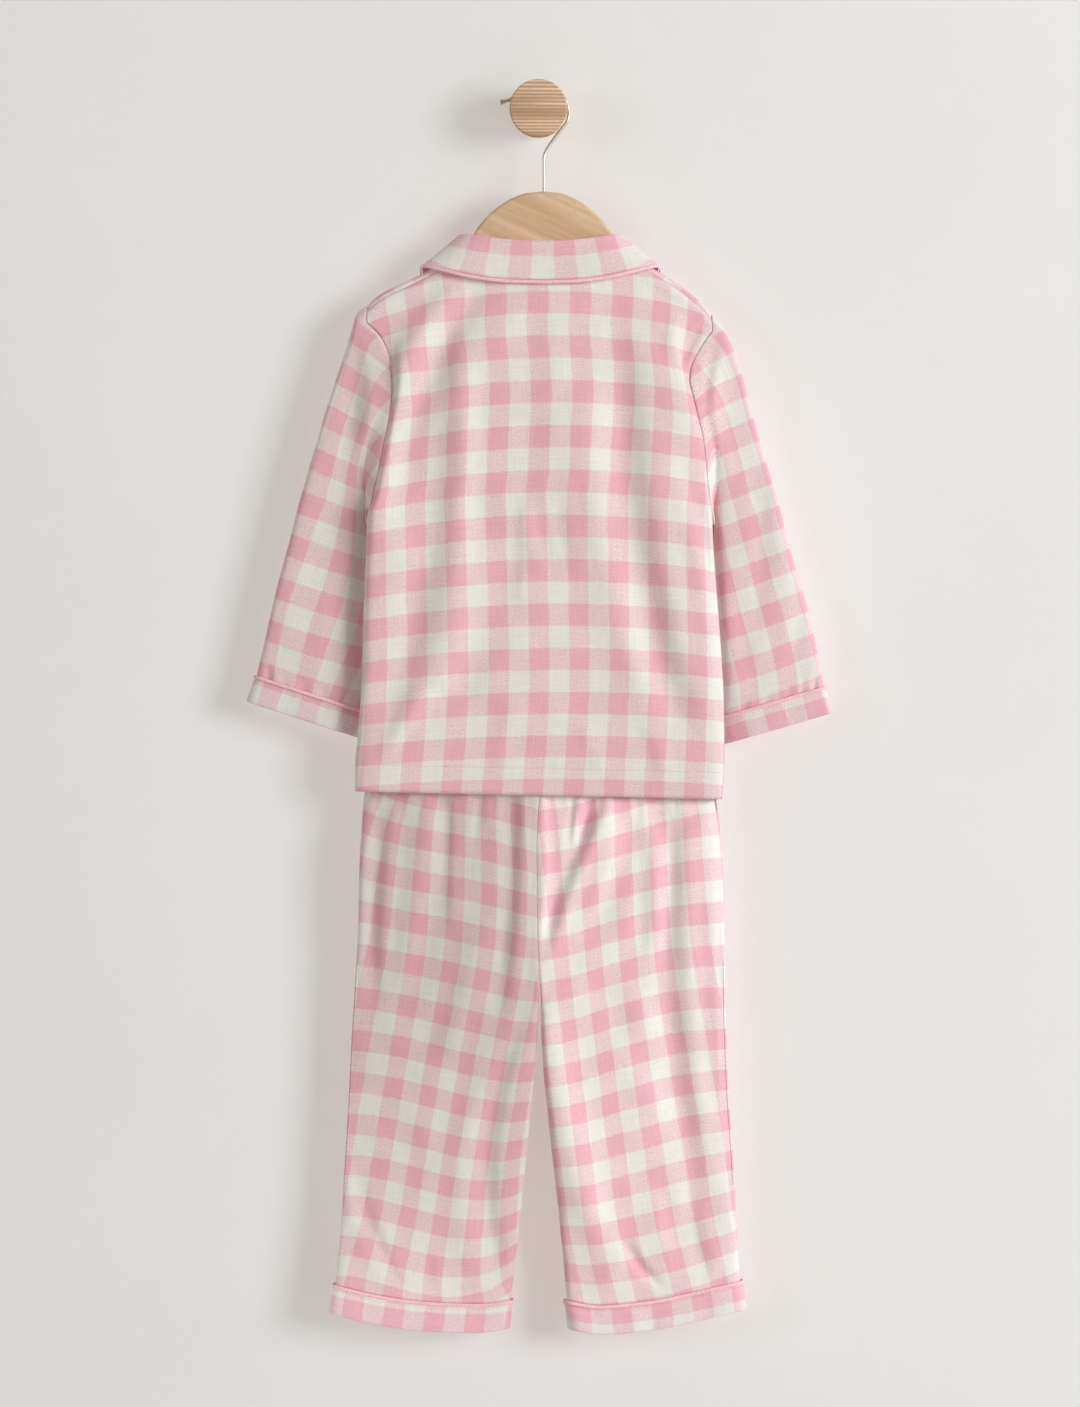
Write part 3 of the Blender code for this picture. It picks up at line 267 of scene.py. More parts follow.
# Gathers below the waistband: the large ones of the solids, then the narrow ones between them
Gather = namedtuple("Gather", "x half_width depth length")
BACK_GATHERS = (
    Gather(-119, 8, 2.4, 75), Gather(-79, 9, 2.6, 75), Gather(-50, 8, 2.0, 75), Gather(-22, 7, 1.6, 75),
    Gather(20, 7, 1.8, 75), Gather(38, 8, 2.4, 75), Gather(66, 8, 2.0, 75), Gather(98, 9, 2.4, 75),
    Gather(128, 8, 2.0, 75), Gather(-112, 2.6, 0.8, 46), Gather(-98, 3.2, 0.9, 38),
    Gather(-66, 2.8, 0.8, 42), Gather(-38, 2.6, 0.7, 36), Gather(-9, 2.4, 0.6, 30), Gather(9, 2.6, 0.7, 34),
    Gather(29, 2.8, 0.8, 44), Gather(51, 2.6, 0.8, 40), Gather(82, 3.0, 0.9, 48), Gather(112, 2.8, 0.8, 36),
    Gather(-133, 2.8, 0.7, 34),
)
FRONT_GATHERS = (
    Gather(-122, 8, 2.2, 75), Gather(-92, 9, 2.4, 75), Gather(-62, 8, 2.2, 75), Gather(-28, 8, 2.0, 75),
    Gather(26, 8, 2.0, 75), Gather(58, 9, 2.4, 75), Gather(90, 8, 2.2, 75), Gather(122, 8, 2.0, 75),
    Gather(-106, 3.0, 0.8, 40), Gather(-77, 2.6, 0.8, 44), Gather(-45, 2.8, 0.7, 36),
    Gather(-12, 2.6, 0.7, 40), Gather(12, 2.8, 0.7, 34), Gather(42, 2.6, 0.8, 46), Gather(74, 3.0, 0.8, 38),
    Gather(106, 2.8, 0.7, 42),
)
GATHER_FULL = 12.0      # how far below the waistband the gathers reach their full depth

# Collar: its fold and its edge at shares of the way from the centre back to the front end
Collar = namedtuple("Collar", "share fold_x fold_y fold_z edge_x edge_y edge_z")
COLLAR = (
    Collar(0.00, 0, -48.5, -110.2, 0, -51.6, -140.6), Collar(0.14, 24, -48.2, -109.4, 28, -51.6, -139.8),
    Collar(0.28, 47, -46.8, -106.8, 55, -51.2, -136.6), Collar(0.38, 62, -42.5, -104.4, 76, -49.0, -131.8),
    Collar(0.46, 67, -36.0, -104.8, 94, -40.5, -127.6), Collar(0.54, 68, -28.0, -109.0, 97, -29.0, -130.0),
    Collar(0.64, 66, -21.0, -121.0, 94, -18.0, -146.0), Collar(0.76, 54, -15.0, -139.0, 80, -9.5, -172.0),
    Collar(0.88, 32, -11.0, -153.0, 58, -6.0, -192.0), Collar(1.00, 5, -9.0, -159.0, 34, -4.8, -203.0),
)
COLLAR_BEND = 1.0       # radius of the cloth round the fold
COLLAR_CENTRE = 3.2
COLLAR_GAP = 0.6        # from the neck's edge to the foot of the collar's stand
COLLAR_STOP = 10        # from the centre line to the collar's front ends
NECK_HALF = 79.0

# Hanger: the upper edge of its middle, at distances from its centre
HANGER_TOP = (
    Line(0, -67.0), Line(13, -68.2), Line(25, -72.4), Line(36, -79.0), Line(46, -87.6), Line(56, -100.4),
    Line(60, -112.0), Line(64, -124.0), Line(69, -135.0), Line(77, -142.5), Line(88, -145.0),
    Line(99, -148.0),
)
ARCH_END = 86.0         # from the centre; between this and the next the edge goes over into the arm's
ARM_START = 100.0
HANGER_REACH = 127.0
HANGER_DEEP = 24.0      # from the upper edge to the lower one, along the arms
HANGER_MIDDLE_DEEP = 46.0
HANGER_POINTS = 161     # places along each edge of the outline
ARM_CLEAR = 2.6         # between an arm and the cloth that lies over it
ARM_ROUND = 3.0
# Hook: the crook's middle and radius, and how far round it runs, in degrees from the right
CROOK_X = 0.5
CROOK_Z = -1.4
CROOK_RADIUS = 24.4
CROOK_RISE = 22.1
CROOK_START = 143.0
CROOK_END = -20.0
# The wire before and after the crook; the scale thickens it at its capped tip
Wire = namedtuple("Wire", "x z scale")
HOOK_TIP = (
    Wire(-31.4, 6.9, 1.55), Wire(-31.0, 6.9, 1.65), Wire(-29.6, 7.1, 1.62), Wire(-28.9, 7.3, 1.3),
    Wire(-27.2, 7.6, 1.05), Wire(-24.6, 8.4, 1), Wire(-22.2, 9.8, 1),
)
HOOK_SHANK = (
    Wire(18.2, -16.2, 1), Wire(12.0, -24.6, 1), Wire(7.2, -31.6, 1), Wire(5.0, -35.8, 1),
    Wire(4.4, -39.5, 1), Wire(4.4, -50, 1),
)

# How the checks lie on each panel. Every row gives a height along the panel in millimetres, and at
# each place across it how many checks lie to the right of the pattern's own zero, then how many below.
Grain = namedtuple("Grain", "height across down")
BACK_PLACES = (-150, 0, 150)  # from the centre back
BACK_GRAIN = (
    Grain(0, (-4.34, 0.12, 4.67), (4.90, 5.16, 5.12)),
    Grain(145, (-4.44, 0.05, 4.64), (0.63, 1.11, 0.96)),
    Grain(290, (-4.39, 0.07, 4.48), (-3.43, -2.85, -3.10)),
    Grain(435, (-4.29, 0.01, 4.29), (-7.30, -6.76, -6.99)),
)
LEG_PLACES = (0, 50, 100, 150)  # from the side seam
LEG_GRAIN = {
    -1: (
        Grain(0, (-1.61, -0.12, 1.41, 2.71), (5.99, 6.07, 5.96, 6.57)),
        Grain(105, (-1.92, -0.33, 1.53, 3.43), (2.85, 2.94, 2.72, 2.78)),
        Grain(210, (-2.20, -0.73, 1.08, 3.05), (-0.21, -0.12, -0.34, -0.61)),
        Grain(315, (-2.73, -1.09, 0.65, 2.62), (-3.13, -3.13, -3.28, -3.68)),
        Grain(420, (-3.78, -1.41, 0.67, 2.80), (-5.91, -6.16, -6.25, -6.65)),
    ),
    1: (
        Grain(0, (1.79, 0.06, -1.54, -3.39), (6.09, 5.90, 5.85, 5.83)),
        Grain(105, (1.92, 0.41, -1.21, -3.12), (2.87, 2.89, 2.75, 2.42)),
        Grain(210, (2.24, 0.73, -0.97, -2.87), (-0.28, -0.11, -0.27, -0.70)),
        Grain(315, (2.73, 1.12, -0.64, -2.43), (-3.29, -3.12, -3.26, -3.66)),
        Grain(420, (2.78, 1.08, -0.66, -2.10), (-6.05, -6.08, -6.29, -6.65)),
    ),
}
SLEEVE_PLACES = (0, 50, 100)  # from the outer fold
SLEEVE_GRAIN = {
    -1: (
        Grain(0, (-1.20, 0.19, 2.26), (3.16, 3.14, 3.21)),
        Grain(100, (-1.18, -0.26, 0.72), (0.34, 0.35, 0.45)),
        Grain(200, (-1.47, -0.58, 0.36), (-2.36, -2.42, -2.42)),
        Grain(300, (-1.46, -0.42, 0.70), (-5.03, -5.28, -5.30)),
    ),
    1: (
        Grain(0, (0.86, -0.53, -2.16), (3.09, 2.96, 2.91)),
        Grain(100, (1.00, -0.34, -1.49), (0.27, 0.21, 0.23)),
        Grain(200, (1.00, 0.07, -0.43), (-2.44, -2.50, -2.51)),
        Grain(300, (1.48, 0.17, 0.39), (-5.04, -5.19, -5.16)),
    ),
}
COLLAR_WHITE = 1.2      # a white stripe's middle lies this far right of the collar's centre
COLLAR_ROW = 4.4        # a pink row's middle lies this far below the fold
# Cuffs: middle of a pink stripe from the outer edge, and of a pink row from the upper seam
CuffCheck = namedtuple("CuffCheck", "stripe row")
SLEEVE_CUFF_CHECK = {-1: CuffCheck(19.7, -1.6), 1: CuffCheck(15.1, 18.0)}
LEG_CUFF_CHECK = {-1: CuffCheck(23.0, 17.6), 1: CuffCheck(5.7, 6.4)}

# Soft folds in the cloth, as seen from the room: a curve down through three places, its width, how far
# it stands up, and how far it rises towards the right, which turns it from the window (or to it, below 0)
Fold = namedtuple("Fold", "x z mid_x mid_z to_x to_z width stand rise")
BACK_FOLDS = (
    Fold(-73, -190, -77, -346, -118, -510, 18, 0, 1.8), Fold(72, -159, 85, -313, 122, -510, 18, 0, 2.4),
    Fold(-60, -145, -97, -210, -124, -330, 17, 0, -4.4), Fold(-46, -338, -58, -444, -112, -520, 18, 0, -1.5),
    Fold(52, -227, 65, -371, 112, -512, 19, 0, -2.1), Fold(-15, -317, -15, -358, -17, -399, 6, 0, 0.5),
    Fold(-5, -325, -1, -354, 7, -383, 7, 0, -0.6), Fold(18, -297, 22, -338, 30, -387, 8, 0, 0.5),
    Fold(114, -293, 137, -371, 148, -490, 12, 0, -1.4), Fold(140, -170, 131, -189, 121, -210, 4, 0, 1.2),
    Fold(119, -169, 115, -190, 118, -215, 8, 0, -1.4), Fold(92, -153, 96, -215, 102, -284, 24, 0, 1.6),
    Fold(-128, -215, -136, -340, -141, -500, 14, 0, -1.1), Fold(4, -150, 3, -230, 2, -330, 16, 0, 0.7),
    Fold(-106, -230, -112, -340, -126, -480, 22, 0, -1.3),
    Fold(-54, -190, -57, -330, -66, -470, 14, 0, -1.1), Fold(-84, -470, -100, -500, -118, -530, 12, 0, -1.4),
    Fold(20, -500, 34, -520, 44, -545, 11, 0, 0.7), Fold(-30, -490, -36, -515, -44, -545, 12, 0, 0.6),
    Fold(84, -505, 92, -525, 96, -548, 10, 0, 0.6),
)
FRONT_FOLDS = (
    Fold(96, -230, 92, -370, 84, -520, 15, 0.4, 1.2), Fold(60, -240, 64, -360, 72, -500, 13, -0.5, -0.9),
    Fold(122, -300, 124, -400, 116, -530, 11, -0.6, 0.8), Fold(38, -330, 40, -400, 48, -470, 12, 0.4, -0.7),
)
SLEEVE_FOLDS = {
    -1: (
        Fold(-146, -176, -146, -223, -157, -280, 9, 0, 1),
        Fold(-175, -264, -186, -338, -200, -420, 14, 0, -0.6),
        Fold(-165, -305, -175, -379, -188, -453, 10, 0, 0.5),
        Fold(-138, -215, -149, -290, -161, -380, 12, 0, 2.6),
    ),
    1: (
        Fold(148, -178, 143, -210, 137, -268, 6, 0, 1.8), Fold(188, -288, 189, -358, 183, -432, 10, 0, 0.9),
        Fold(172, -297, 176, -338, 182, -375, 8, 0, -0.5), Fold(198, -334, 210, -403, 203, -461, 9, 0, -1),
        Fold(165, -387, 172, -428, 178, -461, 9, 0, 0.5), Fold(141, -250, 146, -350, 153, -470, 9, 0, 3.0),
    ),
}
LEG_FOLDS = {
    -1: (
        Fold(-138, -564, -140, -627, -143, -692, 8, 0, -1.4),
        Fold(-120, -558, -128, -627, -132, -720, 8, 0, 2.0),
        Fold(-81, -564, -89, -630, -109, -725, 13, 0, -2.6),
        Fold(-73, -556, -73, -604, -74, -660, 6, 0, 1.2), Fold(-51, -561, -52, -577, -56, -600, 4, 0, -0.9),
        Fold(-18, -555, -18, -620, -27, -730, 9, 0, 2.9),
        Fold(-12, -752, -35, -830, -30, -945, 9, -1.1, 1.7),
        Fold(-40, -800, -55, -866, -44, -955, 13, 0, -2.2),
        Fold(-155, -868, -142, -922, -118, -966, 9, 0, -1.8),
        Fold(-142, -895, -129, -932, -112, -966, 8, 0, 1.3),
        Fold(-55, -665, -66, -722, -81, -780, 15, 0, 1.3),
        Fold(-33, -650, -56, -735, -82, -830, 14, 0, -0.8),
        Fold(-110, -820, -100, -850, -96, -890, 14, 0, 0.8),
        Fold(-90, -935, -86, -952, -84, -972, 6, 0, 0.8),
    ),
    1: (
        Fold(5, -556, 8, -617, 6, -680, 7, 0, -1.5), Fold(55, -562, 30, -623, 8, -685, 9, 0, 2.8),
        Fold(31, -558, 29, -579, 27, -600, 4, 0, 1.3), Fold(42, -558, 37, -579, 33, -600, 4, 0, -1.1),
        Fold(71, -564, 65, -607, 45, -665, 12, 0, -1.9), Fold(87, -595, 90, -640, 88, -690, 10, 0, 1.2),
        Fold(103, -595, 103, -643, 101, -690, 8, 0, -1.0), Fold(121, -556, 115, -709, 137, -885, 14, 0, 2.8),
        Fold(145, -590, 151, -715, 158, -860, 9, 0, -1.2), Fold(6, -760, 27, -856, 56, -950, 17, 2.6, 0),
        Fold(72, -930, 80, -946, 96, -964, 4.5, -1.6, 0), Fold(87, -725, 92, -781, 98, -840, 18, 0, -1.2),
        Fold(60, -700, 78, -745, 104, -800, 16, 0, 0.8), Fold(128, -880, 132, -915, 140, -955, 9, 0, 1.0),
        Fold(98, -880, 104, -915, 112, -950, 10, 0, -0.9),
    ),
}
# How the folds behind change on the other side: start lower, middle aside, end shorter, pressed deeper
Change = namedtuple("Change", "lower aside shorter press")
SLEEVE_CHANGE = Change(22, 3, 8, 1.2)
LEG_CHANGE = Change(0, 4, 10, 1.0)
# How much deeper each panel's folds are than the tables say, and how uneven its cloth is
BACK_PRESS = 2.7
SLEEVE_PRESS = 1.7
LEG_PRESS = 2.2
PUCKER_PRESS = 1.8
PUCKER_RIM = 0.6        # how much the cloth stands up again beside a pucker
BODY_UNEVEN = 0.5
SLEEVE_UNEVEN = 0.45
LEG_UNEVEN = 0.8
FOLD_SOFT = 0.22        # share of a fold's length over which its ends fade
LEG_LEAN = 1.0          # share of its depth that a leg's back loses towards its side seam
WAIST_LEAN = 0.2        # the same just below the top's hem
FRONT_CLEAR = 2.4       # room between a front of the top and what hangs behind it
FRONT_TOP = -195        # height of a front's upper end, for the cloth that hangs behind it
FRONT_CLEAR_HEIGHTS = (-596, -567)  # below the first the trousers' own form is free
HEM_CLEAR = 1.0         # how far the trousers sink below the top's hem, so that their folds pass under it
HEM_CLEAR_HEIGHTS = (-620, -580)
# Short puckers that run up from a seam: middle along the seam's own line, width, depth and length
Pucker = namedtuple("Pucker", "x width depth length")
LEFT_SLEEVE_PUCKERS = (
    Pucker(-222, 3.2, 1.3, 17), Pucker(-209, 2.8, 0.8, 12), Pucker(-193, 3.4, 0.9, 14),
    Pucker(-177, 3.0, 0.7, 12), Pucker(-161, 3.4, 0.8, 15),
)
RIGHT_SLEEVE_PUCKERS = (
    Pucker(228, 2.8, 1.3, 16), Pucker(218, 2.6, 1.1, 15), Pucker(207, 2.8, 0.9, 12),
    Pucker(189, 3.2, 0.8, 12), Pucker(170, 3.0, 0.8, 14),
)
SLEEVE_PUCKERS = {-1: LEFT_SLEEVE_PUCKERS, 1: RIGHT_SLEEVE_PUCKERS}
# Distances from a seam or edge over which folds and waves come in
BACK_SIDE_QUIET = (0, 12)
BACK_HEM_QUIET = (0, 30)
BACK_HOLLOW_QUIET = (40, 80)
BACK_TOP_QUIET = (3, 25)
FRONT_SIDE_QUIET = (0, 30)
FRONT_EDGE_QUIET = (PLACKET, PLACKET + 26)
FRONT_HEM_QUIET = (HEM + 4, 90)
FRONT_TOP_QUIET = (4, 50)
SLEEVE_TOP_QUIET = (3, 24)
SLEEVE_CUFF_QUIET = (2, 20)
SLEEVE_INNER_QUIET = (6, 30)
SLEEVE_WAVE_QUIET = (2, 14)
FACING_ROOM = (0.1, -0.3)  # y of the way out of the cloth, from a sleeve's front to its back
LEG_SIDE_QUIET = (0, 8)
LEG_CUFF_QUIET = (0, 14)
LEG_TOP_QUIET = (WAIST_BOTTOM, WAIST_BOTTOM - 9)
# Valleys along seams and stitch lines
Dip = namedtuple("Dip", "depth width")
BACK_SIDE_DIP = Dip(0.3, 1.2)
BACK_TOP_DIP = Dip(0.4, 1.4)
BACK_HEM_DIP = Dip(0.3, 0.9)
FRONT_SIDE_DIP = Dip(0.8, 1.8)
FRONT_TOP_DIP = Dip(0.6, 1.8)
FRONT_HEM_DIP = Dip(0.45, 0.8)
FACING_DIP = Dip(0.4, 0.8)
ARMHOLE_DIP = Dip(0.4, 1.4)
LEG_SIDE_DIP = Dip(0.6, 1.6)
LEG_INNER_DIP = Dip(0.8, 1.6)
COLLAR_DIP = Dip(0.35, 0.8)
# Long waves that all worn cloth has: how tight they are across and down, where they start, their size
Wave = namedtuple("Wave", "across down start size")
WAVES = (
    Wave(0.061, 0.043, 1.1, 1.0), Wave(-0.093, 0.071, 2.7, 1.0),
    Wave(0.152, 0.118, 0.4, 0.6), Wave(0.171, -0.136, 5.1, 0.6),
)
# Ripples along a band: height, length and start
Ripple = namedtuple("Ripple", "size length start")
CUFF_RIPPLES = (Ripple(0.25, 7.0, 0.0), Ripple(0.2, 3.7, 1.3))
WAIST_RIPPLES = (Ripple(0.28, 2.1, 0.0), Ripple(0.22, 3.3, 1.0))


def smooth(keys, values):
    """A smooth curve through a table's rows that never swings past them, as a function of the key."""
    order = np.argsort(keys)
    keys = np.array(keys, float)[order]
    values = np.array(values, float)[order]
    steps = np.diff(values) / np.diff(keys)
    slopes = np.concatenate((steps[:1], np.zeros(len(steps) - 1), steps[-1:]))
    for i in range(1, len(steps)):
        if steps[i - 1] * steps[i] > 0:
            slopes[i] = 2 * steps[i - 1] * steps[i] / (steps[i - 1] + steps[i])

    def at(key):
        key = np.clip(np.asarray(key, float), keys[0], keys[-1])
        i = np.clip(np.searchsorted(keys, key) - 1, 0, len(keys) - 2)
        width = keys[i + 1] - keys[i]
        t = (key - keys[i]) / width
        start = values[i] + (values[i + 1] - values[i]) * t * t * (3 - 2 * t)
        return start + width * t * (1 - t) * (slopes[i] * (1 - t) - slopes[i + 1] * t)

    return at


def column(table, key, name):
    """One named column of a table, smooth over another."""
    return smooth([getattr(row, key) for row in table], [getattr(row, name) for row in table])


def blend(start, end, value):
    """0 below start, 1 above end, and an easy curve between."""
    t = np.clip((value - start) / (end - start), 0, 1)
    return t * t * (3 - 2 * t)


def shares_with(count, spots, reach=0.012, crowding=0.0):
    """Shares from 0 to 1, with extra ones close to each spot, where a seam or stitch line runs."""
    even = np.linspace(0, 1, count + 1)
    even = (1 - crowding) * even + crowding * (0.5 - 0.5 * np.cos(np.pi * even))
    near = [spot + reach * part for spot in spots for part in (-1, -0.5, -0.2, 0, 0.2, 0.5, 1)]
    kept = [share for share in even if all(abs(share - spot) > reach * 1.2 for spot in spots)]
    return np.unique(np.clip(np.array(kept + near + [0, 1]), 0, 1))


def run_of(points, axis):
    """Length along the cloth from the grid's first row or column."""
    steps = np.linalg.norm(np.diff(points, axis=axis), axis=2)
    start = np.zeros_like(np.take(steps, [0], axis=axis))
    return np.concatenate((start, np.cumsum(steps, axis=axis)), axis=axis)


def normals_of(points, turn, ring=False):
    """Unit normals of a grid, out of the cloth; a ring's first and last columns are one."""
    across = np.gradient(points, axis=1)
    if ring:
        across[:, 0] = across[:, -1] = points[:, 1] - points[:, -2]
    normals = np.cross(across, np.gradient(points, axis=0)) * turn
    return normals / np.maximum(np.linalg.norm(normals, axis=2, keepdims=True), 1e-9)


# The cloth's form: the solids' own sections, with squarer side edges and fuller backs

top_edge_x = {side: column(table, "z", "x") for side, table in TOP_EDGES.items()}
back_top_z = column(BACK_TOP, "x", "z")
top_depth = {name: column(TOP_DEPTH, "level", name) for name in TopDepth._fields[1:]}
front_roll_end = column(FRONT_COLUMNS, "x", "roll_end")
front_drop = column(FRONT_COLUMNS, "x", "drop")
ROLL_START = ROLL_HEIGHT * math.sin(math.radians(SEAM_ANGLE))


def top_side(side, level):
    """x of the top's edge on one side, at a share of its height."""
    low, high = TOP_EDGES[side][0].z, TOP_EDGES[side][-1].z
    return top_edge_x[side](low + np.asarray(level, float) * (high - low))


def hem_z(x):
    """Height of the top's hem."""
    share = (x - TOP_LEFT[0].x) / (TOP_RIGHT[0].x - TOP_LEFT[0].x)
    return TOP_LEFT[0].z + share * (TOP_RIGHT[0].z - TOP_LEFT[0].z)


def crown(t, level):
    """How far the cloth stands out across its width, from 0 at an edge to 1 in the middle."""
    tube_like = np.sqrt(np.maximum(1 - abs(t) ** BODY_SQUARE, 0))
    open_like = 1 - abs(t) ** OPEN_SQUARE
    neck_like = np.exp(-(t / NECK_WIDTH) ** 2)
    lower = tube_like + (open_like - tube_like) * blend(*OPEN_LEVELS, level)
    return lower + (neck_like - lower) * blend(*NECK_LEVELS, level)


def side_fill(level):
    """How far the top's back stands out more at its side edges than its solid does."""
    full = SIDE_FILL * (top_depth["back_middle"](level) - top_depth["back_edge"](level))
    return full * blend(*FILL_LEVELS, level)


def back_depth(t, level):
    """y outside the back; t runs from -1 at its left edge to 1 at its right edge."""
    edge = top_depth["back_edge"](level) + side_fill(level)
    return edge + (top_depth["back_middle"](level) - edge) * crown(t, level)


def on_roll(back_y, front_y, angle):
    """y on the cloth's roll over the arm, and the rise above the roll's start; 0 faces the room."""
    turn = np.radians(angle)
    y = (back_y + front_y) / 2 - (front_y - back_y) / 2 * np.cos(turn)
    return y, ROLL_HEIGHT * np.sin(turn)


def back_point(u, level, angle=0.0):
    """Points outside the back: u runs across from left to right, angle round the roll."""
    x = top_side(-1, level) * (1 - u) + top_side(1, level) * u
    hem_x = TOP_LEFT[0].x * (1 - u) + TOP_RIGHT[0].x * u
    top_x = TOP_LEFT[-1].x * (1 - u) + TOP_RIGHT[-1].x * u
    z = hem_z(hem_x) * (1 - level) + (back_top_z(top_x) - ROLL_START) * level
    y, rise = on_roll(back_depth(2 * u - 1, level), front_depth(-1, x, 1.0), angle)
    return np.stack(np.broadcast_arrays(x, y, z + rise), axis=-1)


def front_depth(side, x, level):
    """y outside a front, with the lap of the right front over the left one."""
    edge = top_depth["front_edge"](level) + side_fill(level) * blend(*FRONT_FILL_LEVELS, level)
    middle = top_depth["front_middle"](level)
    far = np.minimum(abs(x) / abs(top_side(side, level)), 1)
    tube_like = np.sqrt(1 - far ** FRONT_SQUARE)
    neck_like = blend(FRONT_NECK_WIDTH, 0.0, far)
    y = edge + (middle - edge) * (tube_like + (neck_like - tube_like) * blend(*FRONT_NECK_LEVELS, level))
    if side > 0:
        y = y + LAP_STEP * blend(LAP_FADE, LAP_FADE / 2, x)
    return y


def front_flat(side, top_x, level):
    """Points outside a front below the roll. top_x is a column's place at the shoulder or neck."""
    u = (SHOULDER[side] - top_x) / (SHOULDER[side] + LAP)
    x = top_side(side, level) * (1 - u) - side * LAP * u
    hem_x = side * abs(TOP_LEFT[0].x) * (1 - u) - side * LAP * u
    start = back_top_z(side * max(top_x, NECK_POINT)) - ROLL_START - front_drop(top_x)
    z = hem_z(hem_x) * (1 - level) + start * level
    return np.stack(np.broadcast_arrays(x, front_depth(side, x, level), z), axis=-1)


# How finely the top is meshed: shares of its height and width at which its points lie
BACK_HEIGHT = 430.0
FRONT_WIDTH = 152.0
FRONT_SPLIT = 0.845     # share of a front's height above which its rows are spread evenly up to its edge
BACK_ROWS = shares_with(118, (HEM / BACK_HEIGHT, UNDERARM), 0.006)
BACK_ACROSS = shares_with(112, (), crowding=0.45)
FRONT_ROWS = BACK_ROWS[BACK_ROWS < FRONT_SPLIT]
FRONT_ACROSS = shares_with(62, (PLACKET / FRONT_WIDTH,), crowding=0.3)[::-1]
FRONT_ABOVE = 34
FRONT_FINE = 40
FACING_STOP = 6         # rows below the neck at which the facing's stitch line ends
ROLL_ROWS = 9


def back_grid():
    """Outer points of the back, hem to shoulder seam."""
    low = back_point(BACK_ACROSS[None, :], BACK_ROWS[:, None])
    angles = np.linspace(0, SEAM_ANGLE, ROLL_ROWS + 1)[1:]
    points = np.concatenate((low, back_point(BACK_ACROSS[None, :], 1.0, angles[:, None])))
    points[:, (0, -1), 1] -= SEAM_GAP / 2
    return points


def front_places(side):
    """A front's columns: how far from the centre line each one ends at the shoulder or neck."""
    return -LAP + FRONT_ACROSS * (SHOULDER[side] + LAP)


def front_grid(side):
    """Outer points of one front, hem to shoulder seam and neck."""
    columns = []
    for top_x in front_places(side):
        lower = front_flat(side, top_x, FRONT_ROWS)
        path = front_flat(side, top_x, np.linspace(FRONT_SPLIT, 1, FRONT_FINE))
        x, front_y, start = path[-1]
        back_y = back_depth(x / abs(top_side(side, 1)), 1.0)
        y, rise = on_roll(back_y, front_y, np.linspace(180, front_roll_end(top_x), FRONT_FINE)[1:])
        over = np.stack(np.broadcast_arrays(x, y, start + rise), axis=-1)
        path = np.concatenate((path, over))
        reach_up = run_of(path[:, None], 0)[:, 0]
        shares = np.linspace(0, 1, FRONT_ABOVE + 1) * reach_up[-1]
        upper = np.stack([np.interp(shares, reach_up, path[:, axis]) for axis in range(3)], axis=-1)
        columns.append(np.concatenate((lower, upper)))
    points = np.array(columns).transpose(1, 0, 2)
    points[:, 0, 1] += SEAM_GAP / 2
    return points


def armhole_at(side, back, front, heights):
    """The armhole as a ring at even heights: from the underarm up the back and down the front."""
    up = back[np.searchsorted(BACK_ROWS, UNDERARM - 1e-6):, 0 if side < 0 else -1]
    down = front[np.searchsorted(FRONT_ROWS, UNDERARM - 1e-6):, 0]
    crest = int(np.argmax(down[:, 2]))
    up = np.concatenate((up, down[crest:][::-1]))
    down = down[:crest + 1]
    low = up[0, 2]
    high = down[-1, 2]
    ring = []
    for edge in (up, down):
        height = 2 * (edge[:, 2] - low) / (high - low) - 1
        ring.append(np.stack([np.interp(heights, height, edge[:, axis]) for axis in range(3)], axis=-1))
    hole = np.concatenate((ring[0], ring[1][::-1][1:]))
    hole[:, 0] += side * ARMHOLE_GAP
    hole[(0, -1), 1] = (up[0, 1] + down[0, 1]) / 2
    return hole


SLEEVE_HALF = 44        # faces round each half of a sleeve
SLEEVE_ROWS = shares_with(112, (), crowding=0.35)


def sleeve_grid(side, back, front):
    """Rings of a sleeve from armhole to cuff: up its back from the inner edge, and down its front."""
    rows = {name: column(SLEEVES[side], "share", name) for name in Sleeve._fields[1:]}
    turn = np.linspace(0, math.pi, SLEEVE_HALF + 1)
    heights = -np.cos(turn)
    around = np.concatenate((heights, heights[::-1][1:]))
    facing = np.concatenate((-np.ones(SLEEVE_HALF + 1), np.ones(SLEEVE_HALF)))
    ring = armhole_at(side, back, front, heights)

    def section(share):
        value = {name: rows[name](share)[:, None] for name in rows}
        x = (value["outer_x"] + value["inner_x"]) / 2 + (value["outer_x"] - value["inner_x"]) / 2 * around
        z = (value["outer_z"] + value["inner_z"]) / 2 + (value["outer_z"] - value["inner_z"]) / 2 * around
        stand = np.sqrt(np.maximum(1 - abs(around) ** SLEEVE_FULLNESS, 0))
        beside = np.clip((abs(x) - abs(value["inner_x"])) / SLEEVE_ROUND, 0, 1)
        rounded = blend(*ROUND_PLACES, around) * (facing < 0) * blend(*ROUND_SHARES, share)[:, None]
        stand = stand * (1 - rounded * (1 - np.sqrt(1 - (1 - beside) ** 2)))
        filled = value["half_depth"] * SIDE_FILL * (1 - stand) * (around > 0)
        y = value["middle_y"] + facing * value["half_depth"] * stand
        y = y - filled * blend(*FILL_SHARES, share)[:, None]
        y = y + (value["tip_y"] - value["middle_y"]) * ((1 - around) / 2) ** 2
        return np.stack((x, y, z), axis=-1)

    reach = ARMHOLE_REACH * (1 - UNDERARM_HOLLOW * blend(*HOLLOW_PLACES, around) * (facing < 0))
    keep = (np.maximum(1 - SLEEVE_ROWS[:, None] / reach, 0) ** 2)[:, :, None]
    return section(SLEEVE_ROWS) + keep * (ring - section(np.zeros(1)))


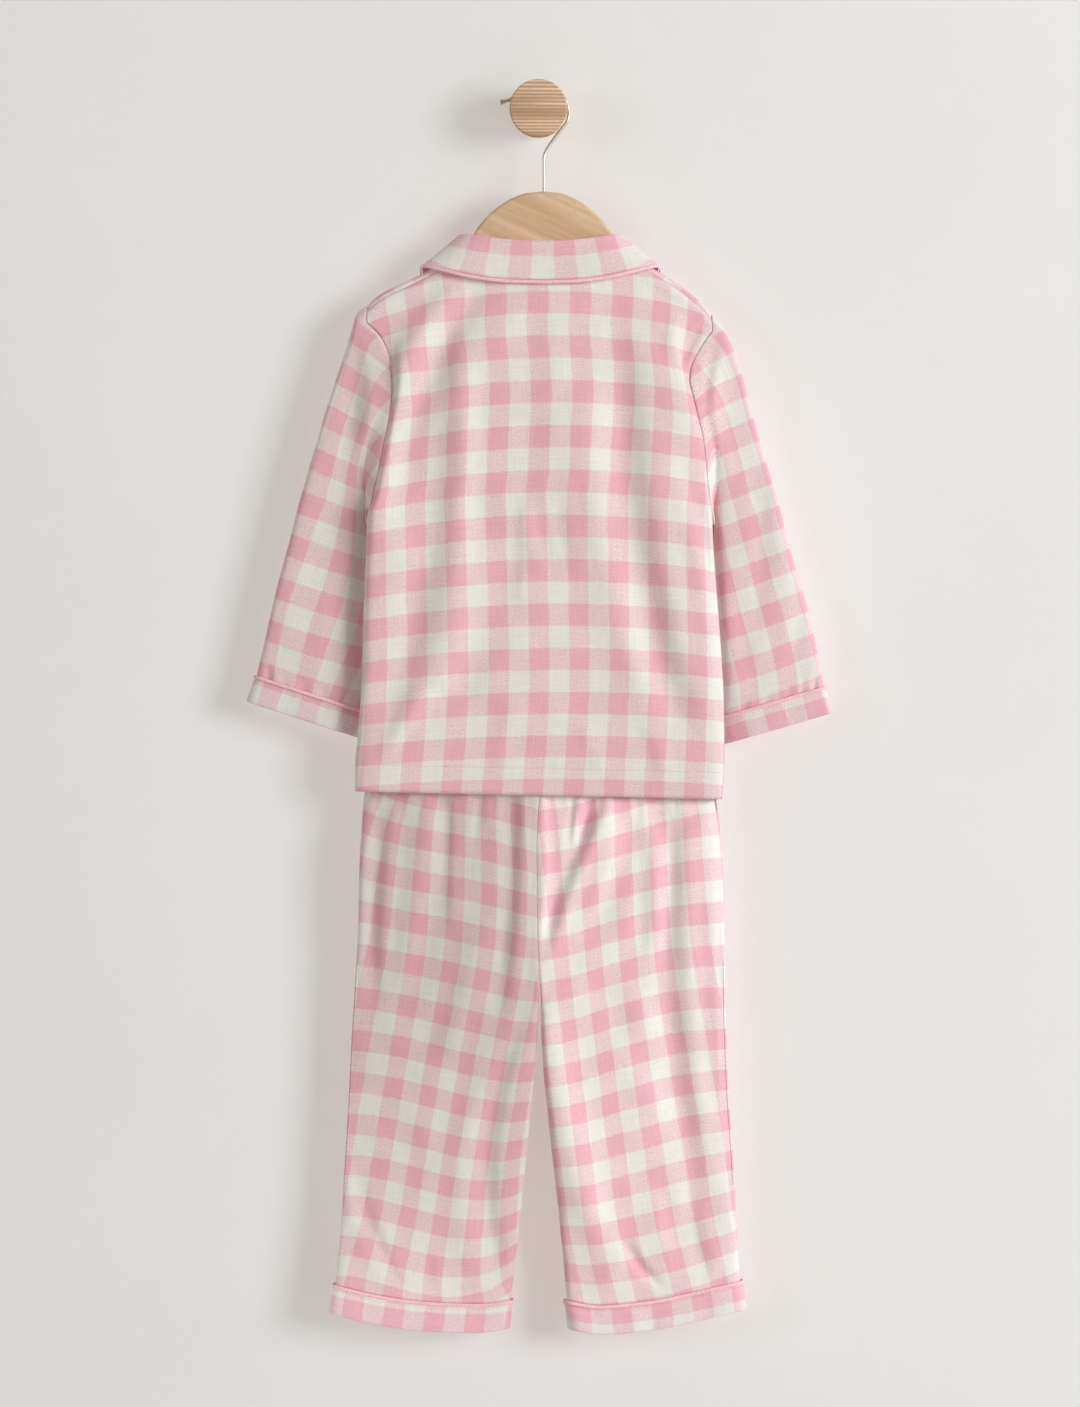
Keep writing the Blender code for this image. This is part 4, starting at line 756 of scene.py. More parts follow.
leg_outer = {-1: column(LEG_LEFT_OUTER, "z", "x"), 1: column(LEG_RIGHT_OUTER, "z", "x")}
leg_inner = {-1: column(LEG_LEFT_INNER, "z", "x"), 1: column(LEG_RIGHT_INNER, "z", "x")}
cuff_line = {side: column(line, "x", "z") for side, line in CUFF_LINES.items()}
leg_depth = {name: column(LEG_DEPTH, "z", name) for name in LegDepth._fields[1:]}


def under_front(points):
    """Keep what hangs inside the top behind its fronts, and let it swell out again below the hem."""
    x = points[..., 0]
    z = points[..., 2]
    level = np.clip((z - hem_z(x)) / (FRONT_TOP - hem_z(x)), 0, 1)
    cover = np.where(x < 0, front_depth(-1, x, level), front_depth(1, x, level) - LAP_STEP * (x < LAP_FADE))
    kept = np.minimum(points[..., 1], cover - CLOTH - FRONT_CLEAR)
    points[..., 1] += (kept - points[..., 1]) * blend(*FRONT_CLEAR_HEIGHTS, z)
    return points


def leg_points(side, face, u, level):
    """Points outside a leg: u runs from the side seam to the inner seam, level up from the cuff."""
    first, last = CUFF_LINES[side][0], CUFF_LINES[side][-1]
    outer_z = first.z * (1 - level) + WAIST_BOTTOM * level
    inner_z = last.z * (1 - level) + WAIST_BOTTOM * level
    x = leg_outer[side](outer_z) * (1 - u) + leg_inner[side](inner_z) * u
    z = cuff_line[side](first.x * (1 - u) + last.x * u) * (1 - level) + WAIST_BOTTOM * level
    rise = np.clip((inner_z - CROTCH) / CROTCH_CURVE, 0, 1)
    round_under = np.sqrt(1 - (1 - rise) ** 2)
    smooth_under = blend(CROTCH - SEAT_EASE, CROTCH + SEAT_EASE, inner_z)
    opened = smooth_under + (round_under - smooth_under) * u ** SEAT_FADE
    square = LEG_SQUARE + (WAIST_SQUARE - LEG_SQUARE) * blend(*LEG_ROUND_HEIGHTS, z)
    tube_like = np.sqrt(np.maximum(1 - abs(2 * u - 1) ** square, 0))
    half_like = np.sqrt(np.maximum(1 - (1 - u) ** square, 0))
    stand = tube_like + (half_like - tube_like) * opened
    if face < 0:
        lean = (LEG_LEAN + (WAIST_LEAN - LEG_LEAN) * blend(*LEAN_HEIGHTS, z)) * blend(*LEAN_END_HEIGHTS, z)
        stand = stand * (1 - lean * blend(*LEAN_LEVELS, level) * (1 - u))
    edge = leg_depth["side"](z)
    edge = edge + SIDE_FILL * (leg_depth["back"](z) - edge) * blend(*LEG_FILL_HEIGHTS, z)
    y = edge + (leg_depth["back" if face < 0 else "front"](z) - edge) * stand
    for gather in (BACK_GATHERS if face < 0 else FRONT_GATHERS):
        fade = blend(WAIST_BOTTOM - gather.length, WAIST_BOTTOM - GATHER_FULL, z)
        y = y - face * gather.depth * fade * np.exp(-((x - gather.x) / gather.half_width) ** 2)
    return np.stack(np.broadcast_arrays(x, y, z), axis=-1)


# Laying the checks and pressing the folds

def between(places, at):
    """Weights of a smooth line through the places of a short table."""
    weights = []
    for i, own in enumerate(places):
        weight = np.ones_like(at)
        for j, other in enumerate(places):
            if j != i:
                weight = weight * (at - other) / (own - other)
        weights.append(weight)
    return weights


def laid(grain, places, across, height):
    """Where each point lies on the cut cloth, in metres, from a panel's grain table."""
    spots = np.zeros(across.shape + (2,))
    for row, row_weight in zip(grain, between([row.height for row in grain], height)):
        for number, weight in enumerate(between(places, across)):
            spots[..., 0] += row_weight * weight * row.across[number]
            spots[..., 1] += row_weight * weight * row.down[number]
    return spots * np.array([CHECK_ACROSS, -CHECK_DOWN]) * MM


def folded_over(grain, places, across, height):
    """The cloth's other side of a fold: the checks run on round it."""
    return 2 * laid(grain, places, np.zeros_like(across), height) - laid(grain, places, across, height)


def fold_lift(points, folds):
    """How far the soft folds raise the cloth at each point."""
    x = points[..., 0]
    z = points[..., 2]
    lift = np.zeros(x.shape)
    for fold in folds:
        heights = (fold.z, fold.mid_z, fold.to_z)
        near = np.clip(z, fold.to_z - 2 * fold.width, fold.z + fold.width)
        places = (fold.x, fold.mid_x, fold.to_x)
        line = sum(weight * place for weight, place in zip(between(heights, near), places))
        lean = (fold.to_x - fold.x) / (fold.z - fold.to_z)
        aside = (x - line) / (fold.width * math.hypot(1, lean))
        soft = fold.width / 2 + FOLD_SOFT * (fold.z - fold.to_z)
        fade = blend(fold.to_z - soft, fold.to_z + soft, z) * blend(fold.z + soft / 2, fold.z - soft, z)
        lift += (fold.stand + fold.rise * aside) * np.exp(-aside ** 2) * fade
    return lift


def other_side(folds, lower, aside, shorter, press):
    """The folds of a panel, changed a little, for the panel on the other side."""
    return [fold._replace(z=fold.z - lower, mid_x=fold.mid_x + aside, to_z=fold.to_z + shorter,
                          stand=-fold.stand, rise=-fold.rise * press) for fold in folds]


def uneven(points, amount):
    """A slight unevenness that all worn cloth has."""
    x = points[..., 0]
    z = points[..., 2] + points[..., 1]
    lift = sum(wave.size * np.sin(wave.across * x + wave.down * z + wave.start) for wave in WAVES)
    return amount * lift / sum(wave.size for wave in WAVES)


def rippled(run, ripples):
    """The height of a band's ripples at each place along it."""
    return sum(ripple.size * np.sin(run / ripple.length + ripple.start) for ripple in ripples)


def seam_dip(distance, dip):
    """The valley beside a seam or under a stitch line."""
    return -dip.depth * np.exp(-(distance / dip.width) ** 2)


def line_at(distance, away, shaped, normals):
    """A line on a grid: in every column, the point that lies this far away, and the way out of the cloth."""
    line = ([], [])
    for j in range(shaped.shape[1]):
        order = np.argsort(away[:, j], kind="stable")
        for values, taken in zip((shaped, normals), line):
            taken.append([np.interp(distance, away[order, j], values[order, j, axis]) for axis in range(3)])
    return np.array(line[0]), np.array(line[1])


def sew_cloth(name, points, spots, turn, thickness=CLOTH, ring=False):
    """A thin shell of cloth from a grid of outer points and their places on the cut cloth."""
    rows, columns = points.shape[:2]
    index = np.arange(rows * columns).reshape(rows, columns)
    corners = (index[:-1, :-1], index[:-1, 1:], index[1:, 1:], index[1:, :-1])
    quads = np.stack(corners, axis=-1).reshape(-1, 4)
    if turn < 0:
        quads = quads[:, ::-1]
    mesh = bpy.data.meshes.new(name)
    mesh.from_pydata((points.reshape(-1, 3) * MM).tolist(), [], quads.tolist())
    cut = mesh.uv_layers.new(name="cut")
    cut.data.foreach_set("uv", spots.reshape(-1, 2)[quads].astype(np.float32).ravel())
    piece = bpy.data.objects.new(name, mesh)
    bpy.context.collection.objects.link(piece)
    if ring:
        work = bmesh.new()
        work.from_mesh(mesh)
        bmesh.ops.remove_doubles(work, verts=work.verts, dist=0.01 * MM)
        work.to_mesh(mesh)
        work.free()
    if thickness:
        wall = piece.modifiers.new("thickness", "SOLIDIFY")
        wall.thickness = thickness * MM
        wall.offset = -1
        apply_all(piece)
    mesh.shade_smooth()
    return piece


def select_only(piece):
    """Make one piece the only selected one."""
    bpy.ops.object.select_all(action="DESELECT")
    piece.select_set(True)
    bpy.context.view_layer.objects.active = piece


def apply_all(piece):
    """Apply every modifier of a piece."""
    select_only(piece)
    for modifier in list(piece.modifiers):
        bpy.ops.object.modifier_apply(modifier=modifier.name)


# Finishes

def daylight(red, green, blue):
    """A colour seen on a screen, as the light that it stands for."""
    parts = []
    for value in (red, green, blue):
        value = value / 255
        parts.append(value / 12.92 if value <= 0.04045 else ((value + 0.055) / 1.055) ** 2.4)
    return (*parts, 1)


def add(tree, kind, inputs=None, **settings):
    """A node with its settings and inputs; an input is a value or another node's socket."""
    made = tree.nodes.new(kind)
    for key, value in settings.items():
        setattr(made, key, value)
    for socket, value in (inputs or {}).items():
        if isinstance(value, bpy.types.NodeSocket):
            tree.links.new(value, made.inputs[socket])
        else:
            made.inputs[socket].default_value = value
    return made


def ranged(tree, value, low, high, start=0.0, end=1.0):
    """A value eased from one range to another."""
    made = add(tree, "ShaderNodeMapRange", {0: value, 1: low, 2: high, 3: start, 4: end})
    made.interpolation_type = "SMOOTHSTEP"
    return made.outputs[0]


def mixed(tree, share, first, second, kind="MIX"):
    """Two colours mixed by a share."""
    made = add(tree, "ShaderNodeMix", {0: share, 6: first, 7: second}, data_type="RGBA", blend_type=kind)
    return made.outputs[2]


def worked(tree, operation, *values):
    """The result of a sum on two or three values."""
    return add(tree, "ShaderNodeMath", dict(enumerate(values)), operation=operation).outputs[0]


def noise(tree, where, scale, detail=2.0, rough=0.5):
    """Fine or large mottling."""
    inputs = {"Vector": where, "Scale": scale, "Detail": detail, "Roughness": rough}
    return add(tree, "ShaderNodeTexNoise", inputs).outputs[0]


def roughen(tree, shader, strength, deep, height):
    """A relief in the finish, its depth in millimetres."""
    bump = add(tree, "ShaderNodeBump", {"Strength": strength, "Distance": deep * MM, "Height": height})
    tree.links.new(bump.outputs[0], shader.inputs["Normal"])


def new_finish(name, roughness, **sockets):
    """An empty finish: its tree and its shader."""
    made = bpy.data.materials.new(name)
    made.use_nodes = True
    shader = made.node_tree.nodes["Principled BSDF"]
    shader.inputs["Roughness"].default_value = roughness
    for key, value in sockets.items():
        shader.inputs[key.replace("_", " ")].default_value = value
    return made, made.node_tree, shader


DEEP_PINK = daylight(225, 169, 178)
SOFT_WHITE = daylight(224, 222, 215)
STRIPE_WANDER = 0.05    # how far a stripe's edge strays, as a share of a check
STRIPE_SOFT = 0.022     # half the width over which pink goes over into white, as the same share
LINE_SHADE = 0.93       # how dark the wood's year lines are, as a share of its darker tone
FLECK_SHADE = 0.8       # the same for its small flecks


def brushed_gingham():
    """Brushed cotton: dyed and undyed stripes woven across each other, with a fine twill and nap."""
    finish, tree, shader = new_finish("brushed_gingham", 0.96, Sheen_Weight=0.22, Sheen_Roughness=0.45)
    shader.inputs["Sheen Tint"].default_value = daylight(250, 236, 236)
    shader.inputs["Specular IOR Level"].default_value = 0.25
    where = add(tree, "ShaderNodeUVMap", uv_map="cut").outputs[0]
    wander = noise(tree, where, 160.0, 2.0)
    spot = add(tree, "ShaderNodeSeparateXYZ", {0: where})

    def stripes(run, width):
        count = worked(tree, "MULTIPLY", run, 1 / (width * MM))
        strayed = worked(tree, "MULTIPLY_ADD", wander, STRIPE_WANDER, count)
        return ranged(tree, worked(tree, "PINGPONG", strayed, 0.5), 0.25 + STRIPE_SOFT, 0.25 - STRIPE_SOFT)

    warp = mixed(tree, stripes(spot.outputs[0], CHECK_ACROSS), SOFT_WHITE, DEEP_PINK)
    weft = mixed(tree, stripes(spot.outputs[1], CHECK_DOWN), SOFT_WHITE, DEEP_PINK)
    twill_run = add(tree, "ShaderNodeMapping", {"Vector": where, "Scale": (1.0, 0.5, 1.0)})
    twill_run.inputs["Rotation"].default_value = (0, 0, math.radians(28))
    pepper = noise(tree, twill_run.outputs[0], 1500.0, 2.0, 0.6)
    over = ranged(tree, pepper, 0.35, 0.65, 0.16, 0.88)
    woven = mixed(tree, over, warp, weft)
    slubs = []
    for run in ((900.0, 40.0, 1.0), (40.0, 900.0, 1.0)):
        drawn = add(tree, "ShaderNodeMapping", {"Vector": where, "Scale": run}).outputs[0]
        slubs.append(noise(tree, drawn, 1.0, 2.0, 0.6))
    threads = worked(tree, "ADD", *slubs)
    nap = noise(tree, where, 700.0, 3.0, 0.7)
    mottled = noise(tree, where, 9.0, 3.0)
    fuzz = mixed(tree, ranged(tree, nap, 0.35, 0.75, 0.0, 0.16), woven, daylight(247, 240, 238))
    lined = mixed(tree, ranged(tree, threads, 0.7, 1.3), (0.95, 0.935, 0.935, 1), (1.04, 1.045, 1.045, 1))
    shade = mixed(tree, ranged(tree, mottled, 0.3, 0.7), (0.975, 0.97, 0.97, 1), (1.02, 1.02, 1.02, 1))
    worn = mixed(tree, 1.0, mixed(tree, 1.0, fuzz, lined, "MULTIPLY"), shade, "MULTIPLY")
    tree.links.new(worn, shader.inputs["Base Color"])
    roughen(tree, shader, 0.4, 0.3, worked(tree, "ADD", nap, threads))
    return finish


def pink_piping():
    """Cotton piping, cut on the cross and pulled tight round its cord."""
    finish, tree, shader = new_finish("pink_piping", 0.9, Sheen_Weight=0.2, Sheen_Roughness=0.5)
    shader.inputs["Specular IOR Level"].default_value = 0.3
    where = add(tree, "ShaderNodeTexCoord").outputs["Object"]
    threads = noise(tree, where, 900.0, 2.0, 0.6)
    patch = noise(tree, where, 40.0, 2.0)
    tone = mixed(tree, ranged(tree, threads, 0.3, 0.7), daylight(233, 178, 187), daylight(246, 205, 211))
    warm = mixed(tree, ranged(tree, patch, 0.3, 0.7), (0.96, 0.95, 0.95, 1), (1.03, 1.03, 1.03, 1))
    tree.links.new(mixed(tree, 1.0, tone, warm, "MULTIPLY"), shader.inputs["Base Color"])
    roughen(tree, shader, 0.3, 0.3, threads)
    return finish


def pink_thread():
    """Sewing thread, a little darker than the cloth."""
    finish, tree, shader = new_finish("pink_thread", 0.6, Sheen_Weight=0.1)
    where = add(tree, "ShaderNodeTexCoord").outputs["Object"]
    ply = noise(tree, where, 1500.0, 1.0)
    tone = mixed(tree, ranged(tree, ply, 0.3, 0.7), daylight(222, 150, 163), daylight(240, 180, 190))
    tree.links.new(tone, shader.inputs["Base Color"])
    return finish


def beech(name, dark, light, lines, wander, roughness, depth, tilt):
    """Planed beech with its grain near X: fine pores, soft year lines and small flecks.

    lines is from one year line to the next and wander how far they stray, both in millimetres; depth is
    how strongly they show, and tilt is their slope in degrees.
    """
    finish, tree, shader = new_finish(name, roughness)
    shader.inputs["Specular IOR Level"].default_value = 0.35
    turn = {"Vector": add(tree, "ShaderNodeTexCoord").outputs["Object"]}
    turn["Rotation"] = (0, math.radians(tilt), 0)
    where = add(tree, "ShaderNodeMapping", turn).outputs[0]
    run = add(tree, "ShaderNodeMapping", {"Vector": where, "Scale": (0.07, 0.3, 1.0)}).outputs[0]
    drift = noise(tree, run, 28.0, 3.0, 0.5)
    spot = add(tree, "ShaderNodeSeparateXYZ", {0: where}).outputs[2]
    strayed = worked(tree, "MULTIPLY_ADD", drift, wander * MM, spot)
    turned = worked(tree, "PINGPONG", strayed, lines * MM / 2)
    year = ranged(tree, turned, 0.0, lines * MM / 2)
    pores = noise(tree, run, 1300.0, 3.0, 0.65)
    patch = noise(tree, run, 90.0, 2.0)
    tone = mixed(tree, ranged(tree, patch, 0.3, 0.7), daylight(*dark), daylight(*light))
    line_tone = mixed(tree, depth, tone, daylight(*[part * LINE_SHADE for part in dark]))
    lined = mixed(tree, year, line_tone, tone)
    fleck_tone = mixed(tree, 0.5, lined, daylight(*[part * FLECK_SHADE for part in dark]))
    shown = mixed(tree, ranged(tree, pores, 0.56, 0.70), lined, fleck_tone)
    tree.links.new(shown, shader.inputs["Base Color"])
    roughen(tree, shader, 0.15, 0.2, pores)
    return finish


def nickel_wire():
    """Bright drawn wire with fine lengthwise scratches."""
    finish, tree, shader = new_finish("nickel_wire", 0.34, Metallic=0.8)
    where = add(tree, "ShaderNodeTexCoord").outputs["Object"]
    drawn = noise(tree, where, 700.0, 2.0)
    tone = mixed(tree, ranged(tree, drawn, 0.3, 0.7), daylight(190, 181, 168), daylight(222, 214, 202))
    tree.links.new(tone, shader.inputs["Base Color"])
    tree.links.new(ranged(tree, drawn, 0.3, 0.7, 0.3, 0.42), shader.inputs["Roughness"])
    return finish


def pearl():
    """Pearly moulded button."""
    finish, tree, shader = new_finish("pearl_button", 0.22, Coat_Weight=0.4, Coat_Roughness=0.12)
    where = add(tree, "ShaderNodeTexCoord").outputs["Object"]
    cloud = noise(tree, where, 260.0, 3.0)
    tone = mixed(tree, ranged(tree, cloud, 0.3, 0.7), daylight(232, 205, 206), daylight(248, 236, 234))
    tree.links.new(tone, shader.inputs["Base Color"])
    return finish


def wall_paint(name, tone):
    """Matt paint, seen from its painted side only."""
    finish, tree, shader = new_finish(name, 0.95)
    shader.inputs["Specular IOR Level"].default_value = 0.1
    where = add(tree, "ShaderNodeTexCoord").outputs["Object"]
    mottle = ranged(tree, noise(tree, where, 3.0, 3.0), 0.3, 0.7)
    shown = mixed(tree, mottle, daylight(*tone), daylight(*[part + 2 for part in tone]))
    tree.links.new(shown, shader.inputs["Base Color"])
    behind = add(tree, "ShaderNodeNewGeometry").outputs["Backfacing"]
    clear = add(tree, "ShaderNodeBsdfTransparent")
    painted = add(tree, "ShaderNodeMixShader", {0: behind, 1: shader.outputs[0], 2: clear.outputs[0]})
    tree.links.new(painted.outputs[0], tree.nodes["Material Output"].inputs["Surface"])
    return finish


GINGHAM = brushed_gingham()
PIPING = pink_piping()
THREAD = pink_thread()
HANGER_WOOD = beech("beech_hanger", (199, 164, 127), (219, 190, 155), lines=6.5, wander=22.0, roughness=0.5,
                    depth=0.3, tilt=-24)
PEG_WOOD = beech("beech_peg", (184, 146, 114), (236, 206, 174), lines=2.9, wander=6.0, roughness=0.55,
                 depth=0.9, tilt=0)
WIRE = nickel_wire()
PEARL = pearl()


def dress(piece, finish, slot, *nodes):
    """Give a piece its finish and its body, and hide the solids that it stands for; its slot is not used."""
    piece.data.materials.clear()
    piece.data.materials.append(finish)
    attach(piece, "root")
    if nodes:
        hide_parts(*nodes)
    return piece


# Cords, cuffs and stitches

CORD_FLAT = 0.38        # a pressed cord is this much thinner than it is wide


def round_cord(name, path, radius, closed, sides=12):
    """Pressed piping along a path, a mesh of even rings."""
    path = np.array(path, float)
    if closed:
        ahead = np.roll(path, -1, axis=0) - np.roll(path, 1, axis=0)
    else:
        ahead = np.gradient(path, axis=0)
    ahead /= np.linalg.norm(ahead, axis=1, keepdims=True)
    up = np.array([0.0, 0.0, 1.0]) - ahead * ahead[:, 2:3]
    up /= np.linalg.norm(up, axis=1, keepdims=True)
    side = np.cross(ahead, up)
    angles = np.linspace(0, 2 * math.pi, sides + 1)
    circle = up[:, None] * np.cos(angles)[:, None] + side[:, None] * np.sin(angles)[:, None] * CORD_FLAT
    points = path[:, None] + circle * radius
    if closed:
        points = np.concatenate((points, points[:1]))
    else:
        poles = [end[:, None].repeat(sides + 1, 1) for end in (path[:1], path[-1:])]
        points = np.concatenate((poles[0], points, poles[1]))
    piece = sew_cloth(name, points, points[..., :2] * MM, 1, thickness=0, ring=True)
    facing_out(piece)
    return piece


def facing_out(piece):
    """Turn a closed mesh's faces outwards."""
    work = bmesh.new()
    work.from_mesh(piece.data)
    bmesh.ops.recalc_face_normals(work, faces=work.faces)
    work.to_mesh(piece.data)
    work.free()


# A stitch's rings: share of its length, share of the thread's radius, and rise out of the cloth
StitchRing = namedtuple("StitchRing", "share size rise")
STITCH_RINGS = (
    StitchRing(0, 0.1, -0.15), StitchRing(0.2, 0.9, 0.12), StitchRing(0.8, 0.9, 0.12),
    StitchRing(1, 0.1, -0.15),
)
STITCH_SIDES = 5


def stitches(name, lines):
    """Short threads along lines of points, each line with its own outward directions."""
    places = []
    for path, outward in lines:
        path = np.array(path, float)
        reach = run_of(path[:, None], 0)[:, 0]
        for start in np.arange(STITCH_PITCH / 2, reach[-1] - STITCH_PITCH / 2, STITCH_PITCH):
            ends = [np.array([np.interp(start + shift, reach, path[:, axis]) for axis in range(3)])
                    for shift in (-STITCH_LENGTH / 2, STITCH_LENGTH / 2)]
            out = np.array([np.interp(start, reach, outward[:, axis]) for axis in range(3)])
            places.append((ends[0], ends[1], out / np.linalg.norm(out)))
    first, last, out = np.array(places).transpose(1, 0, 2)
    ahead = last - first
    ahead /= np.linalg.norm(ahead, axis=1, keepdims=True)
    side = np.cross(ahead, out)
    rings = []
    for row in STITCH_RINGS:
        middle = first + (last - first) * row.share + out * row.rise
        ring = [middle + (out * math.cos(turn) + side * math.sin(turn)) * STITCH_RADIUS * row.size
                for turn in np.linspace(0, 2 * math.pi, STITCH_SIDES + 1)[:-1]]
        rings.append(np.stack(ring, axis=1))
    block = np.stack(rings, axis=1)
    index = np.arange(block.size // 3).reshape(block.shape[:3])
    beside = np.roll(index, -1, axis=2)
    corners = (index[:, :-1], beside[:, :-1], beside[:, 1:], index[:, 1:])
    quads = np.stack(corners, axis=-1).reshape(-1, 4)
    caps = index[:, 0, ::-1].tolist() + index[:, -1].tolist()
    mesh = bpy.data.meshes.new(name)
    mesh.from_pydata((block.reshape(-1, 3) * MM).tolist(), [], quads.tolist() + caps)
    mesh.shade_smooth()
    piece = bpy.data.objects.new(name, mesh)
    bpy.context.collection.objects.link(piece)
    facing_out(piece)
    return dress(piece, THREAD, "piping")


def ring_outward(ring, axis):
    """Unit vectors out of a closed ring, square to its axis. Its first and last points are one."""
    tangent = np.gradient(ring, axis=0)
    tangent[0] = tangent[-1] = ring[1] - ring[-2]
    out = np.cross(tangent, axis)
    out /= np.linalg.norm(out, axis=1, keepdims=True)
    return out if np.sum(out * (ring - ring.mean(axis=0))) > 0 else -out


BandPoint = namedtuple("BandPoint", "down out")
CUFF_EDGE = 1.0         # half the folded band's thickness, and the roundness of its lower fold
BAND_SWELL = 0.22       # how far the band swells out below its stitch line
RIPPLE_DOWN = (2.0, 8.0)  # distances below its upper edge over which the band's ripples come in


def cuff_section(height):
    """A folded band in section: down its outside past the stitch line, round the fold and up its inside."""
    section = [BandPoint(0.0, 0.0), BandPoint(0.5, 0.12), BandPoint(1.2, 0.2)]
    section += [BandPoint(CUFF_STITCH + past, 0.0) for past in (-1.2, -0.6, 0, 1.0)]
    section += [BandPoint(down, BAND_SWELL) for down in np.linspace(6.0, height - 2.2, 8)]
    for angle in np.linspace(20, 160, 7):
        turn = math.radians(angle)
        down = height - CUFF_EDGE + CUFF_EDGE * math.sin(turn)
        section.append(BandPoint(down, CUFF_EDGE * math.cos(turn) - CUFF_EDGE))
    section += [BandPoint(down, -BAND) for down in np.linspace(height - 3, 0.0, 7)]
    return section


def sew_cuff(kind, side, ring, drop, cloth_run, check, stitch_lines):
    """A cuff band with its piping and stitch lines below a sleeve's or leg's last ring."""
    name = "%s_cuff_%s" % (kind, SIDES[side])
    drop = np.array(drop, float)
    height = np.linalg.norm(drop)
    axis = drop / height
    out = ring_outward(ring, axis)
    top = ring + out * CUFF_PROUD + axis * SEAM_GAP
    ripple = rippled(cloth_run, CUFF_RIPPLES)
    across = (cloth_run - check.stripe) * MM
    rows = []
    spots = []
    run = 0.0
    before = None
    for place in cuff_section(height):
        flare = CUFF_FLARE * place.down / height
        lift = place.out + flare + ripple * blend(*RIPPLE_DOWN, place.down)
        rows.append(top + axis * place.down + out * np.reshape(lift, (-1, 1)))
        if before is not None:
            run += math.hypot(place.down - before.down, place.out - before.out)
        before = place
        spots.append(np.stack((across, np.full_like(across, (run - check.row) * MM)), axis=-1))
    rows.append(rows[0])
    spots.append(spots[-1])
    piece = sew_cloth(name + "_cloth", np.array(rows), np.array(spots), 1, thickness=0, ring=True)
    facing_out(piece)
    dress(piece, GINGHAM, "gingham", name)
    cord = (top + out * (PIPING_RADIUS * CORD_FLAT + PIPING_GAP) + axis * PIPING_SINK)[:-1]
    piping_name = name.replace("cuff", "piping")
    piping = round_cord(piping_name + "_cord", cord, PIPING_RADIUS, True)
    dress(piping, PIPING, "piping", piping_name)
    lines = [(top + axis * down + out * CUFF_FLARE * down / height, out) for down in stitch_lines]
    threads = stitches(name + "_stitches", lines)
    return piece


# The top

def make_top():
    """Back and fronts, with their hems, plackets and seams."""
    back = back_grid()
    across = run_of(back, 1)
    middle = np.argmin(abs(BACK_ACROSS - 0.5))
    across = across - across[:, [middle]]
    height = run_of(back, 0)
    spots = laid(BACK_GRAIN, BACK_PLACES, across, height)
    normals = normals_of(back, 1)
    edge = np.minimum(across - across[:, :1], across[:, -1:] - across)
    top_edge = height[-1:] - height
    quiet = blend(*BACK_SIDE_QUIET, edge) * blend(*BACK_HEM_QUIET, height) * blend(*BACK_TOP_QUIET, top_edge)
    lift = (fold_lift(back, BACK_FOLDS) * BACK_PRESS + uneven(back, BODY_UNEVEN)) * quiet
    lift = np.where(lift < 0, lift * blend(*BACK_HOLLOW_QUIET, height), lift)
    lift += seam_dip(edge, BACK_SIDE_DIP) + seam_dip(top_edge, BACK_TOP_DIP)
    lift += seam_dip(height - HEM, BACK_HEM_DIP)
    shaped = back + normals * lift[..., None]
    piece = sew_cloth("top_back_cloth", shaped, spots, 1)
    dress(piece, GINGHAM, "gingham", "top_back")
    threads = [stitches("top_back_hem_stitches", [line_at(HEM, height, shaped, normals)])]
    return back, {side: make_front(side, "top_front_" + side_name) for side, side_name in SIDES.items()}


def make_front(side, name):
    """One front, with its hem, the stitched facing of its edge and its neck seam."""
    grid = front_grid(side)
    run = run_of(grid, 1)
    from_edge = run[:, -1:] - run
    height = run_of(grid, 0)
    side_place = BACK_PLACES[0] if side < 0 else BACK_PLACES[-1]
    rows_down = laid(BACK_GRAIN, BACK_PLACES, np.full_like(run, float(side_place)), height)[..., 1]
    spots = np.stack(((from_edge - LAP) * MM, rows_down), axis=-1)
    normals = normals_of(grid, side)
    top_edge = height[-1:] - height
    quiet = blend(*FRONT_SIDE_QUIET, run) * blend(*FRONT_EDGE_QUIET, from_edge)
    quiet = quiet * blend(*FRONT_HEM_QUIET, height) * blend(*FRONT_TOP_QUIET, top_edge)
    folds = [fold._replace(x=side * fold.x, mid_x=side * fold.mid_x, to_x=side * fold.to_x)
             for fold in FRONT_FOLDS]
    lift = (fold_lift(grid, folds) + uneven(grid, BODY_UNEVEN)) * quiet
    lift += seam_dip(run, FRONT_SIDE_DIP) + seam_dip(top_edge, FRONT_TOP_DIP)
    lift += seam_dip(height - HEM, FRONT_HEM_DIP) + seam_dip(from_edge - PLACKET, FACING_DIP)
    shaped = grid + normals * lift[..., None]
    piece = sew_cloth(name + "_cloth", shaped, spots, side)
    dress(piece, GINGHAM, "gingham", name)
    facing, way = line_at(PLACKET, from_edge.T, shaped.transpose(1, 0, 2), normals.transpose(1, 0, 2))
    lines = [line_at(HEM, height, shaped, normals), (facing[:-FACING_STOP], way[:-FACING_STOP])]
    threads = stitches(name + "_stitches", lines)
    return grid


